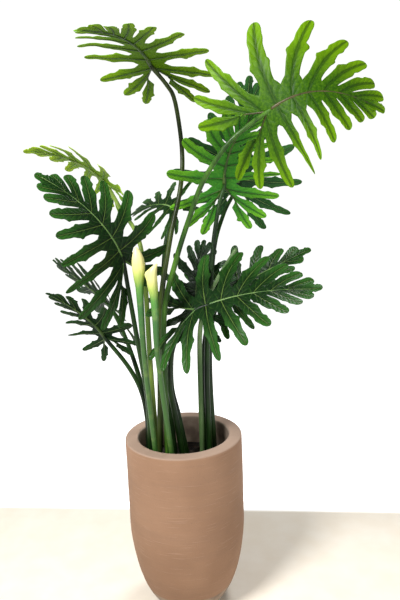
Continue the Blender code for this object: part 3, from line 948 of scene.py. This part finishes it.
def ribbed(turn, along):
    """Faint lengthwise ridges, as on a real stalk."""
    return 1.0 + sum(height * math.cos(turn * math.tau * count) for count, height in RIDGES)


print("a stalk is", STALK_RADIUS * 2000, "mm thick in the soil")

# %% Run the ribs and the veins
BASAL_RIB_RADIUS = 0.0040
BASAL_RIB_THINS = 0.6
VEIN_STEPS = 22
VEIN_RADIUS = 0.0019
VEIN_END_RADIUS = 0.0004
VEIN_TAPER = 0.6
VEIN_REACH = 0.94
VEIN_SUNK = 0.75


def vein_run(blade, lobe, seed):
    """The vein under the middle of one lobe, from the rib out."""
    made = []
    for step in range(VEIN_STEPS + 1):
        share = step / VEIN_STEPS
        along = VEIN_REACH * share
        radius = VEIN_RADIUS + (VEIN_END_RADIUS - VEIN_RADIUS) * share**VEIN_TAPER
        flat = lobe.flat(0.0, along)
        lift = blade_lift(lobe, flat, 0.0, along, seed) - radius * VEIN_SUNK
        made.append((*blade.place(flat, lift), radius))
    return made


def basal_run(blade, leaf, side):
    """The bare rib behind the base, which carries the hindmost lobes."""
    reach = leaf["lobes"][0][0]
    made = []
    for step in range(VEIN_STEPS + 1):
        share = step / VEIN_STEPS
        radius = BASAL_RIB_RADIUS * (1 - BASAL_RIB_THINS * share)
        flat = spine_point(blade.length, reach * share, side)
        made.append((*blade.place(flat, -radius * STALK_SUNK), radius))
    return made


print("veins have", VEIN_STEPS, "steps")

# %% Put a leaf together
STALK_COLUMNS = 16
MIDRIB_COLUMNS = 10
MIDRIB_STEPS = 48
MIDRIB_FROM = 0.04
BASAL_RIB_COLUMNS = 8
VEIN_COLUMNS = 6


def add_ribs(work, leaf, blade, lobes, seed):
    """The midrib, the two bare ribs and a vein for each lobe but the one at the tip."""
    reach = MIDRIB_REACH - MIDRIB_FROM
    shares = [MIDRIB_FROM + reach * step / MIDRIB_STEPS for step in range(MIDRIB_STEPS + 1)]
    roll(work, [midrib_point(blade, share) for share in shares], MIDRIB_COLUMNS, RIB)
    for side in SIDES:
        roll(work, basal_run(blade, leaf, side), BASAL_RIB_COLUMNS, RIB)
    for lobe in lobes[:-1]:
        roll(work, vein_run(blade, lobe, seed), VEIN_COLUMNS, RIB)


def make_leaf_mesh(name, leaf, seed):
    """The whole leaf in one mesh: blade, ribs and stalk."""
    blade = Blade(leaf)
    lobes = leaf_lobes(leaf, blade, random.Random(seed))
    sheet = bmesh.new()
    for lobe in lobes:
        add_lobe(sheet, blade, lobe, seed)
    bmesh.ops.remove_doubles(sheet, verts=sheet.verts, dist=WELD)
    thick = thick_sheet(name, sheet)
    work = bmesh.new()
    work.from_mesh(thick)
    bpy.data.meshes.remove(thick)
    add_ribs(work, leaf, blade, lobes, seed)
    roll(work, stalk_run(leaf, blade), STALK_COLUMNS, STALK, ribbed)
    return work


print("a stalk has", STALK_COLUMNS, "sides")

# %% [markdown]
# ## The finish of a leaf
# A leaf's colour follows its own shape: deep green near the ribs, lighter towards the ends of the
# lobes, a thin line along each vein with a band of painted shade next to it, and fine side veins
# that run forward to the edge. The grid's coordinates give all of that, because one of them runs
# across a lobe and the other along it. The flesh between the side veins is puffed up a little, which
# breaks the highlights as on the real leaf.

# %% Make the leaf's finish
SIDE_VEINS = 8.0
SIDE_VEIN_SLANT = 1.5
BRIGHT_FROM = 0.55
BRIGHT_TO = 1.30
LEAF_RELIEF = 0.0013


def leaf_finish(name, deep, bright, vein, vein_shade, rough, shine):
    """Green for one side of a leaf. The fourth colour is the painted shade in a band next to the vein."""
    leaf = Finish(name, {"Specular IOR Level": shine})
    across, along = leaf.grid()
    out = (across * 2 - 1).math("ABSOLUTE")
    patches = leaf.cloud(7.0, 4.0)
    specks = leaf.cloud(160.0, 3.0)
    wander = leaf.cloud(24.0, 2.0)
    slanted = along * SIDE_VEINS - out * SIDE_VEIN_SLANT + wander * 0.8
    puffed = slanted.math("PINGPONG", 0.5) * 2
    side_line = (1 - leaf.step(puffed, 0.04, 0.20)) * (1 - leaf.step(out, 0.70, 0.98))
    middle = 1 - leaf.step(out, 0.035, 0.085)
    # Painted shade: a dark band along each side of the vein.
    shade = leaf.step(out, 0.05, 0.10) * (1 - leaf.step(out, 0.14, 0.46))
    light = leaf.step(along + patches * 0.7 + out * 0.12, BRIGHT_FROM, BRIGHT_TO)
    colour = leaf.blend(light, deep, bright)
    colour = leaf.blend(leaf.step(specks, 0.35, 0.75) * 0.30, colour, bright)
    colour = leaf.blend(shade * 0.70, colour, vein_shade)
    colour = leaf.blend(side_line * 0.16, colour, vein)
    colour = leaf.blend(middle * 0.85, colour, vein)
    gloss = patches * 0.30 + specks * 0.08 + middle * 0.10 + rough
    relief = puffed.math("POWER", 0.6) * 0.6 + wander * 0.3 + specks * 0.10
    return leaf.finish(colour, gloss, relief, LEAF_RELIEF)


print("side veins on a lobe:", SIDE_VEINS)

# %% Mix the greens
# Each has its deep and bright green, the vein, the painted shade next to the vein, the roughness and the
# shine.
LEAF_LOOKS = {
    "dark_upper": (
        (0.002, 0.013, 0.002), (0.018, 0.08, 0.008), (0.1, 0.17, 0.03), (0.001, 0.005, 0.001), 0.18, 0.2,
    ),
    "dark_under": (
        (0.006, 0.034, 0.008), (0.022, 0.092, 0.016), (0.08, 0.15, 0.04), (0.004, 0.02, 0.006), 0.42, 0.14,
    ),
    # Painted shade: the dark greens made darker still, for the low leaves inside the plant.
    "shaded_upper": (
        (0.001, 0.006, 0.001), (0.006, 0.036, 0.004), (0.03, 0.07, 0.02), (0.001, 0.003, 0.001), 0.2, 0.17,
    ),
    "shaded_under": (
        (0.002, 0.013, 0.003), (0.01, 0.044, 0.007), (0.03, 0.07, 0.02), (0.002, 0.008, 0.002), 0.42, 0.09,
    ),
    # Painted light: the greens from here on are the high leaves' own lighter greens, brightened.
    "lime_upper": (
        (0.018, 0.066, 0.001), (0.105, 0.225, 0.001), (0.022, 0.05, 0.004), (0.005, 0.028, 0.001), 0.28, 0.12,
    ),
    "lime_under": (
        (0.06, 0.19, 0.006), (0.17, 0.36, 0.012), (0.05, 0.12, 0.02), (0.04, 0.12, 0.01), 0.46, 0.15,
    ),
    "olive_upper": (
        (0.03, 0.12, 0.002), (0.12, 0.29, 0.006), (0.22, 0.34, 0.05), (0.012, 0.05, 0.003), 0.36, 0.18,
    ),
    "olive_under": (
        (0.052, 0.12, 0.001), (0.13, 0.245, 0.003), (0.012, 0.036, 0.003), (0.024, 0.07, 0.002), 0.46, 0.09,
    ),
    "mid_upper": (
        (0.012, 0.085, 0.008), (0.06, 0.23, 0.012), (0.16, 0.3, 0.06), (0.006, 0.04, 0.006), 0.34, 0.2,
    ),
    "mid_under": (
        (0.026, 0.15, 0.015), (0.105, 0.31, 0.014), (0.007, 0.05, 0.008), (0.014, 0.1, 0.012), 0.44, 0.09,
    ),
    "yellow_under": (
        (0.095, 0.2, 0.002), (0.25, 0.38, 0.004), (0.08, 0.18, 0.02), (0.06, 0.16, 0.006), 0.46, 0.14,
    ),
    "yellow_upper": (
        (0.13, 0.29, 0.005), (0.32, 0.5, 0.012), (0.34, 0.5, 0.06), (0.05, 0.14, 0.005), 0.38, 0.18,
    ),
}
leaf_finishes = {name: leaf_finish(name, *looks) for name, looks in LEAF_LOOKS.items()}
print("leaf finishes:", len(leaf_finishes))

# %% [markdown]
# ## The finish of stalks and ribs
# A stalk is smooth and rather shiny, with long streaks of light and dark and fine dark specks. The
# pattern follows the stalk, so the streaks come from noise that is stretched along the height of the
# plant. Ribs are the same stuff, paler and without specks.

# %% Make the stalk's finish
LONG_STREAKS = (1.0, 1.0, 0.05)
FINE_STREAKS = (1.0, 1.0, 0.07)
SHORT_SPECKS = (1.0, 1.0, 0.4)
STALK_RELIEF = 0.0005
SPECK_DARKNESS = 0.4
STALK_ROUGHNESS = 0.30


def stalk_finish(name, light, dark, specked):
    """Green or brown for a stalk or a rib. specked is how much of its specks shows, from 0 to 1."""
    stalk = Finish(name, {"Specular IOR Level": 0.22})
    streaks = stalk.cloud(34.0, 5.0, LONG_STREAKS)
    fine = stalk.cloud(190.0, 3.0, FINE_STREAKS)
    specks = stalk.step(stalk.cloud(520.0, 2.0, SHORT_SPECKS), 0.58, 0.66)
    mottled = stalk.cloud(9.0, 3.0)
    colour = stalk.blend(stalk.step(streaks * 0.7 + mottled * 0.3, 0.38, 0.62), dark, light)
    colour = stalk.blend(stalk.step(fine, 0.50, 0.75) * 0.35, colour, dark)
    colour = stalk.blend(specks * specked, colour, tuple(part * SPECK_DARKNESS for part in dark))
    gloss = fine * 0.22 + STALK_ROUGHNESS
    return stalk.finish(colour, gloss, fine * 0.7 + specks * 0.2, STALK_RELIEF)


print("relief of a stalk:", STALK_RELIEF * 1000, "mm")

# %% Mix the stalks' colours
# Each has its light and its dark colour, and how much of the specks shows.
STALK_LOOKS = {
    "stalk_brown": ((0.042, 0.066, 0.009), (0.009, 0.016, 0.003), 0.5),
    "stalk_green": ((0.066, 0.165, 0.016), (0.013, 0.045, 0.005), 0.5),
    "stalk_dark": ((0.013, 0.046, 0.005), (0.002, 0.009, 0.002), 0.6),
    "stalk_yellow": ((0.200, 0.290, 0.050), (0.070, 0.130, 0.020), 0.4),
    "rib_pale": ((0.130, 0.220, 0.060), (0.060, 0.130, 0.030), 0.1),
    "rib_brown": ((0.075, 0.065, 0.022), (0.030, 0.032, 0.010), 0.1),
    "rib_olive": ((0.050, 0.090, 0.016), (0.016, 0.040, 0.008), 0.1),
}
stalk_finishes = {name: stalk_finish(name, *looks) for name, looks in STALK_LOOKS.items()}
print("stalk finishes:", len(stalk_finishes))

# %% [markdown]
# ## Dress the leaves
# Each leaf wears four finishes: the upper side, the underside, the ribs and the stalk. The high leaves
# catch the light and are yellow-green, their own lighter green brightened with painted light, and the
# low ones wear the dark greens darkened with painted shade, so they are nearly black.

# %% Build every leaf
# Upper side, underside, ribs and stalk. A leaf that isn't named wears the dark set.
DARK_SET = ("dark_upper", "dark_under", "rib_pale", "stalk_dark")
# The shaded set is the dark set darkened with painted shade.
SHADED_SET = ("shaded_upper", "shaded_under", "rib_olive", "stalk_dark")
LEAF_SETS = {
    "leaf_top_left": ("olive_upper", "olive_under", "rib_olive", "stalk_brown"),
    "leaf_top_right": ("lime_upper", "lime_under", "rib_brown", "stalk_green"),
    "leaf_upper_middle": ("mid_upper", "mid_under", "rib_olive", "stalk_dark"),
    "leaf_left_back": ("yellow_upper", "yellow_under", "stalk_yellow", "stalk_yellow"),
    "leaf_low_left": SHADED_SET,
    "leaf_low_left_back": SHADED_SET,
    "leaf_centre_back": SHADED_SET,
}
finishes = {**leaf_finishes, **stalk_finishes}


def make_piece(name, work, materials, node, slot):
    """A finished mesh in the place of its solid."""
    piece = put(name, mesh_of(name, work))
    for material in materials:
        piece.data.materials.append(material)
    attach(piece, "root")
    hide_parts(node)
    return piece


for seed, (name, leaf) in enumerate(LEAVES.items()):
    chosen = [finishes[key] for key in LEAF_SETS.get(name, DARK_SET)]
    work = make_leaf_mesh(name, leaf, seed)
    piece = make_piece(name + "_fine", work, chosen, name, leaf["green"])
    print(name, len(piece.data.polygons), "faces")

# %% [markdown]
# ## Buds and the young leaf
# A flower bud of this plant is one sheet rolled round itself on a round stalk, so a line runs up it
# where the outer edge lies over the roll. We keep it one closed form and let its radius step down at
# that line, which turns slowly as it climbs. The young leaf is rolled in the same way and is thinner.

# %% Write down the buds
# foot is where it leaves the soil. Each point of a path has its place and the radius there.
BUDS = {
    "bud_left": {
        "foot": (-0.086, -0.100),
        "path": (
            (-0.089, -0.11, 0.575, 0.0085),
            (-0.104, -0.14, 0.90, 0.0085),
            (-0.106, -0.15, 1.08, 0.0105),
            (-0.106, -0.15, 1.135, 0.0125),
            (-0.106, -0.15, 1.165, 0.0170),
            (-0.106, -0.15, 1.200, 0.0205),
            (-0.107, -0.15, 1.225, 0.0180),
            (-0.109, -0.15, 1.245, 0.0110),
            (-0.110, -0.15, 1.258, 0.0030),
        ),
    },
    "bud_right": {
        "foot": (-0.030, -0.118),
        "path": (
            (-0.036, -0.12, 0.58, 0.0085),
            (-0.060, -0.16, 0.90, 0.0085),
            (-0.061, -0.17, 1.04, 0.0105),
            (-0.062, -0.17, 1.100, 0.0120),
            (-0.064, -0.17, 1.130, 0.0155),
            (-0.066, -0.17, 1.160, 0.0165),
            (-0.062, -0.17, 1.185, 0.0130),
            (-0.054, -0.17, 1.200, 0.0070),
            (-0.048, -0.17, 1.207, 0.0020),
        ),
    },
}
YOUNG_LEAF = {
    "foot": (0.062, -0.004),
    "path": (
        (0.064, -0.008, 0.72, 0.0085),
        (0.070, -0.014, 0.95, 0.0082),
        (0.094, -0.010, 1.065, 0.0078),
        (0.120, 0.002, 1.107, 0.0075),
        (0.152, 0.030, 1.153, 0.0071),
        (0.203, 0.062, 1.222, 0.0065),
    ),
}

print("buds:", len(BUDS))

# %% Roll a bud
ROD_COLUMNS = 40
ROD_STEP = 0.006
ROLL_STEP = 0.11
ROLL_TWIST = 1.1
ROLL_SOFTNESS = 0.05
LIP_TURN, LIP_WIDTH = 0.30, 0.07
LIP_ALONG, LIP_HEIGHT = 0.935, 0.016


def rolled_up(starts, lip):
    """The swell of a roll from a share of the run on. lip is how far it stands out near the tip."""

    def swell(turn, along):
        here = soft(along, starts - ROLL_SOFTNESS, starts + ROLL_SOFTNESS)
        edge = (turn + ROLL_TWIST * along) % 1.0
        folded = 1 - ROLL_STEP * here * (1 - edge)
        off = ((turn - LIP_TURN) / LIP_WIDTH) ** 2 + ((along - LIP_ALONG) / LIP_HEIGHT) ** 2
        return folded + lip * math.exp(-off)

    return swell


def rod_mesh(rod, swell):
    """A bud or a rolled leaf with its stalk, from the hole in the soil to the tip."""
    first = rod["path"][0]
    bottom, above = foot_line(rod["foot"], first)
    rated = [Vector((*above, first[3]))] + [Vector(point) for point in rod["path"]]
    work = bmesh.new()
    run = [Vector((*bottom, first[3]))] + smooth_path(rated, ROD_STEP)
    roll(work, run, ROD_COLUMNS, 0, swell)
    return work


print("a bud has", ROD_COLUMNS, "sides")

# %% Make the bud's finish
BUD_GREEN_BELOW = 0.22
BUD_CREAM_ABOVE = 0.06
BUD_COLOURS = (
    (0.0, (0.030, 0.100, 0.014)),
    (0.40, (0.030, 0.125, 0.024)),
    (0.62, (0.080, 0.230, 0.035)),
    (0.74, (0.330, 0.440, 0.080)),
    (0.84, (0.660, 0.640, 0.220)),
    (1.0, (0.800, 0.720, 0.330)),
)
BUD_BLUSH = (0.36, 0.42, 0.12)


def bud_finish(name, opens):
    """Cream at the top, yellow-green below it and then the green of the stalk. opens is a height."""
    bud = Finish(name, {"Specular IOR Level": 0.45})
    streaks = bud.cloud(90.0, 4.0, (1.0, 1.0, 0.06))
    mottled = bud.cloud(30.0, 4.0)
    height = bud.part(bud.place(), "Z") + streaks * 0.016
    limits = {"Value": height, "From Min": opens - BUD_GREEN_BELOW, "From Max": opens + BUD_CREAM_ABOVE}
    rise = bud.add("ShaderNodeMapRange", {}, limits)
    colour = bud.add("ShaderNodeValToRGB", {"stops": BUD_COLOURS}, {0: rise})
    colour = bud.blend(bud.step(mottled, 0.48, 0.80) * 0.30, colour, BUD_BLUSH)
    return bud.finish(colour, streaks * 0.25 + 0.28, streaks * 0.8 + mottled * 0.2, STALK_RELIEF)


print("colours up a bud:", len(BUD_COLOURS))

# %% Build the buds
# A bud's name, the height where it opens and how far its lip stands out.
BUD_SHAPES = (("bud_left", 1.190, 0.0), ("bud_right", 1.152, 0.8))
BUD_ROLL_FROM = 0.84
YOUNG_ROLL_FROM = 0.55
YOUNG_LIGHT = (0.150, 0.230, 0.095)
YOUNG_DARK = (0.050, 0.110, 0.030)
YOUNG_SPECKS = 0.35

for name, opens, lip in BUD_SHAPES:
    work = rod_mesh(BUDS[name], rolled_up(BUD_ROLL_FROM, lip))
    make_piece(name + "_fine", work, [bud_finish(name, opens)], name, "bud_cream")
young = stalk_finish("young_leaf", YOUNG_LIGHT, YOUNG_DARK, YOUNG_SPECKS)
work = rod_mesh(YOUNG_LEAF, rolled_up(YOUNG_ROLL_FROM, 0.0))
make_piece("young_leaf_fine", work, [young], "young_leaf", "stem_green")
print("buds and young leaf made")

# %% [markdown]
# ## The clay pot
# The pot is turned: straight at the top, rounding in to a small foot, with a thick flat rim. So we
# write down half of its outline and spin it. A hand-finished pot isn't quite even, and faint level
# marks run round it, so each point then moves in or out, by about a millimetre at most. Noise that is
# stretched round the pot says how far.

# %% Write down the pot
POT_HEIGHT = 0.60
POT_RADIUS = 0.20
POT_FOOT_RADIUS = 0.10
POT_WALL = 0.045
POT_STRAIGHT_DOWN_TO = 0.30
POT_BELLY_POWER = 1.8
POT_FLOOR = 0.05
RIM_ROUNDING = 0.006
WALL_STEPS = 60
BELLY_STEPS = 30
ROUNDING_STEPS = 5


def pot_radius(height):
    """The outer radius: straight above, then an arc of a raised power in to the foot."""
    if height >= POT_STRAIGHT_DOWN_TO:
        return POT_RADIUS
    depth = (POT_STRAIGHT_DOWN_TO - height) / POT_STRAIGHT_DOWN_TO
    bulge = (1 - depth**POT_BELLY_POWER) ** (1 / POT_BELLY_POWER)
    return POT_FOOT_RADIUS + (POT_RADIUS - POT_FOOT_RADIUS) * bulge


def wall_heights(lowest, highest):
    """Heights down the wall, even where it is straight and closer where it turns in."""
    start = POT_STRAIGHT_DOWN_TO
    last = math.acos(lowest / start)
    straight = [highest + (start - highest) * step / WALL_STEPS for step in range(WALL_STEPS)]
    turning = [start * math.cos(last * step / BELLY_STEPS) for step in range(BELLY_STEPS + 1)]
    return straight + turning


def corner(centre, start):
    """A quarter round of the rim, from start degrees down to start - 90."""
    made = []
    for step in range(ROUNDING_STEPS + 1):
        angle = math.radians(start - 90 * step / ROUNDING_STEPS)
        reach = Vector((math.cos(angle), math.sin(angle))) * RIM_ROUNDING
        made.append((centre[0] + reach.x, centre[1] + reach.y))
    return made


print("radius half way up:", pot_radius(POT_HEIGHT / 2), "m")

# %% Make the spin helper
def spin(profile, sides, wobble):
    """Turns the outline once round the axis, then moves each point by wobble(point)."""
    work = bmesh.new()
    verts = [work.verts.new((radius, 0.0, height)) for radius, height in profile]
    edges = [work.edges.new(pair) for pair in zip(verts, verts[1:])]
    bmesh.ops.spin(
        work, geom=verts + edges, cent=(0, 0, 0), axis=(0, 0, 1), angle=math.tau, steps=sides,
        use_merge=True, use_duplicate=False,
    )
    bmesh.ops.remove_doubles(work, verts=work.verts, dist=WELD)
    bmesh.ops.recalc_face_normals(work, faces=work.faces)
    for vert in work.verts:
        vert.co += wobble(vert.co)
    for face in work.faces:
        face.smooth = True
    return work


disc = spin([(0.0, 0.0), (0.1, 0.0)], 16, lambda point: Vector())
print("a disc of 16 sides has", len(disc.faces), "faces")
disc.free()

# %% Spin the pot
POT_SIDES = 128
RIM_POINTS = (0.7, 0.5, 0.3)
SWELL_DEPTH = 0.0011
MARK_DEPTH = 0.0005
SWELL_RISE = 0.0005
NEAR_AXIS = 0.02


def turning_marks(point):
    """In or out along the radius, the same all the way round but for a slow drift."""
    radius = math.hypot(point.x, point.y)
    if radius < NEAR_AXIS:
        return Vector()
    outward = Vector((point.x, point.y, 0.0)) / radius
    slow = noise.noise(Vector((outward.x * 1.5, outward.y * 1.5, point.z * 9)))
    marks = noise.noise(Vector((outward.x * 0.9, outward.y * 0.9, point.z * 70 + 9)))
    return outward * (SWELL_DEPTH * slow + MARK_DEPTH * marks) + Vector((0, 0, SWELL_RISE * slow))


mouth_radius = POT_RADIUS - POT_WALL
rim_height = POT_HEIGHT - RIM_ROUNDING
inner = [(pot_radius(height) - POT_WALL, height) for height in wall_heights(POT_FLOOR, rim_height)]
outer = [(pot_radius(height), height) for height in wall_heights(0.0, rim_height)]
rim = corner((mouth_radius + RIM_ROUNDING, rim_height), 180)
rim += [(POT_RADIUS - POT_WALL * share, POT_HEIGHT) for share in RIM_POINTS]
rim += corner((POT_RADIUS - RIM_ROUNDING, rim_height), 90)
outline = [(0.0, POT_FLOOR)] + inner[:0:-1] + rim + outer[1:] + [(0.0, 0.0)]
pot_work = spin(outline, POT_SIDES, turning_marks)
print("pot outline has", len(outline), "points")

# %% [markdown]
# ## The finish of the clay
# The clay is a matt taupe brown. It is greyer on the rim, stained in patches by damp inside, and
# lightly scratched in level lines where it was smoothed. The scratches show mostly as a change of
# sheen and a little relief.

# %% Mix the clay's colours
CLAY_DARK = (0.270, 0.154, 0.092)
CLAY_LIGHT = (0.325, 0.190, 0.116)
CLAY_LEVEL = (0.205, 0.126, 0.088)
CLAY_SCRATCH = (0.48, 0.34, 0.26)
CLAY_GRAIN = (0.20, 0.124, 0.088)
CLAY_PIT = (0.16, 0.10, 0.075)
CLAY_RIM = (0.350, 0.258, 0.200)
CLAY_DAMP = (0.150, 0.110, 0.085)
CLAY_DRY = (0.340, 0.265, 0.205)
LEVEL_BANDS = (0.12, 0.12, 1.6)
LEVEL_SCRATCHES = (0.10, 0.10, 2.2)
CLAY_RELIEF = 0.0009
print("relief of the clay:", CLAY_RELIEF * 1000, "mm")

# %% Make the clay
clay = Finish("clay", {"Specular IOR Level": 0.28})
height = clay.part(clay.place(), "Z")
from_axis = clay.reach(clay.place((1.0, 1.0, 0.0)))
inside = 1 - clay.step(from_axis, mouth_radius + 0.001, mouth_radius + RIM_ROUNDING)
on_rim = clay.step(height, rim_height, POT_HEIGHT - 0.001)
level = clay.cloud(30.0, 6.0, LEVEL_BANDS)
scratches = clay.step(clay.cloud(120.0, 4.0, LEVEL_SCRATCHES), 0.60, 0.70)
grain = clay.cloud(420.0, 3.0)
pits = clay.step(clay.cloud(230.0, 2.0), 0.66, 0.74)
colour = clay.blend(clay.step(clay.cloud(5.0, 5.0), 0.30, 0.70), CLAY_DARK, CLAY_LIGHT)
colour = clay.blend(clay.step(level, 0.40, 0.70) * 0.16, colour, CLAY_LEVEL)
colour = clay.blend(scratches * 0.18, colour, CLAY_SCRATCH)
colour = clay.blend(clay.step(grain, 0.45, 0.75) * 0.20, colour, CLAY_GRAIN)
colour = clay.blend(pits * 0.35, colour, CLAY_PIT)
colour = clay.blend(on_rim * 0.70, colour, CLAY_RIM)
stained = clay.blend(clay.step(clay.cloud(14.0, 5.0), 0.35, 0.65), CLAY_DAMP, CLAY_DRY)
colour = clay.blend(inside * 0.9, colour, stained)
sheen = grain * 0.12 - scratches * 0.08 + 0.72
relief = level * 0.35 + scratches * 0.25 + grain * 0.25 - pits * 0.4
clay_finish = clay.finish(colour, sheen, relief, CLAY_RELIEF)
make_piece("pot_fine", pot_work, [clay_finish], "pot", "clay")
print("pot made")

# %% [markdown]
# ## Soil
# Potting mix is dark, crumbly and full of bits of bark. The body of soil is spun like the pot, and its
# top is roughened by noise of several sizes. A few hundred crumbs lie on it, each a ball of twenty
# faces that is squeezed and turned at random.

# %% Spin the soil
SOIL_SIDES = 96
SOIL_STEPS = 46
SOIL_CLEAR = 0.0016
SOIL_BEVEL = 0.0004
SOIL_BELOW_EDGE = 0.004
SOIL_OFF_FLOOR = 0.002
LUMPS_PER_METRE = 34.0
LUMP_HEIGHT = 0.0045
LOWEST_LUMP, HIGHEST_LUMP = -0.008, 0.006
LUMPS_END_FROM, LUMPS_END_AT = 0.145, 0.1545


def rough_top(point):
    """Lumps on the top of the soil, none at its wall."""
    radius = math.hypot(point.x, point.y)
    if point.z < SOIL_TOP - 0.001:
        return Vector()
    lumps = LUMP_HEIGHT * noise.fractal(point * LUMPS_PER_METRE, 1.0, 2.0, 4)
    held = 1 - soft(radius, LUMPS_END_FROM, LUMPS_END_AT)
    return Vector((0.0, 0.0, clamp(lumps, LOWEST_LUMP, HIGHEST_LUMP) * held))


def soil_radius(height):
    """The radius of the soil's wall, a little inside the pot's."""
    return min(pot_radius(height) - POT_WALL, soil_edge + SOIL_BEVEL) - SOIL_CLEAR


soil_edge = mouth_radius - SOIL_CLEAR
soil_floor = POT_FLOOR + SOIL_OFF_FLOOR
top = [(soil_edge * step / SOIL_STEPS, SOIL_TOP) for step in range(SOIL_STEPS + 1)]
heights = wall_heights(soil_floor, SOIL_TOP - SOIL_BELOW_EDGE)
wall = [(soil_radius(height), height) for height in heights]
soil_work = spin(top + wall + [(0.0, soil_floor)], SOIL_SIDES, rough_top)
print("soil from", soil_floor, "to", SOIL_TOP, "m")

# %% Scatter the crumbs
CRUMBS = 420
CRUMB_SEED = 41
CRUMB_RADIUS = (0.0014, 0.0052)
CRUMB_INSET = 0.012
BARK_SHARE = 0.35

dice = random.Random(CRUMB_SEED)
for _ in range(CRUMBS):
    angle = dice.uniform(0.0, math.tau)
    radius = (soil_edge - CRUMB_INSET) * math.sqrt(dice.random())
    size = dice.uniform(*CRUMB_RADIUS)
    squeezed = Matrix.Diagonal((1.0, dice.uniform(0.4, 0.9), dice.uniform(0.3, 0.6), 1.0))
    turned = Matrix.Rotation(dice.uniform(0.0, math.tau), 4, "Z")
    tipped = Matrix.Rotation(dice.uniform(-0.5, 0.5), 4, "X")
    at = Vector((radius * math.cos(angle), radius * math.sin(angle), SOIL_TOP))
    at += rough_top(at) + Vector((0.0, 0.0, size * 0.2))
    place = Matrix.Translation(at) @ (turned @ tipped) @ squeezed
    made = bmesh.ops.create_icosphere(soil_work, subdivisions=1, radius=size, matrix=place)
    slot = 1 if dice.random() < BARK_SHARE else 0
    for face in {face for vert in made["verts"] for face in vert.link_faces}:
        face.material_index = slot
print("crumbs:", CRUMBS)

# %% Make the soil's finish
SOIL_DARK = (0.006, 0.0045, 0.0035)
SOIL_LIGHT = (0.030, 0.021, 0.015)
BARK_DARK = (0.030, 0.018, 0.011)
BARK_LIGHT = (0.085, 0.052, 0.030)
GRIT = (0.10, 0.075, 0.05)
EARTH_RELIEF = 0.0025


def earth_finish(name, dark, light, rough):
    """Dull and lumpy, with pale grit."""
    earth = Finish(name, {"Specular IOR Level": 0.3})
    lumps = earth.cloud(60.0, 5.0)
    grit = earth.cloud(380.0, 3.0)
    colour = earth.blend(earth.step(lumps, 0.35, 0.70), dark, light)
    colour = earth.blend(earth.step(grit, 0.62, 0.74) * 0.5, colour, GRIT)
    return earth.finish(colour, grit * 0.1 + rough, lumps * 0.6 + grit * 0.4, EARTH_RELIEF)


earth = earth_finish("soil", SOIL_DARK, SOIL_LIGHT, 0.86)
bark = earth_finish("bark", BARK_DARK, BARK_LIGHT, 0.80)
make_piece("soil_fine", soil_work, [earth, bark], "soil", "soil")
print("soil made")

# %% [markdown]
# ## Last update
# The finer pieces fill the same room as the solids. At the end the scene is brought up to date.

# %% Update the scene
bpy.context.view_layer.update()
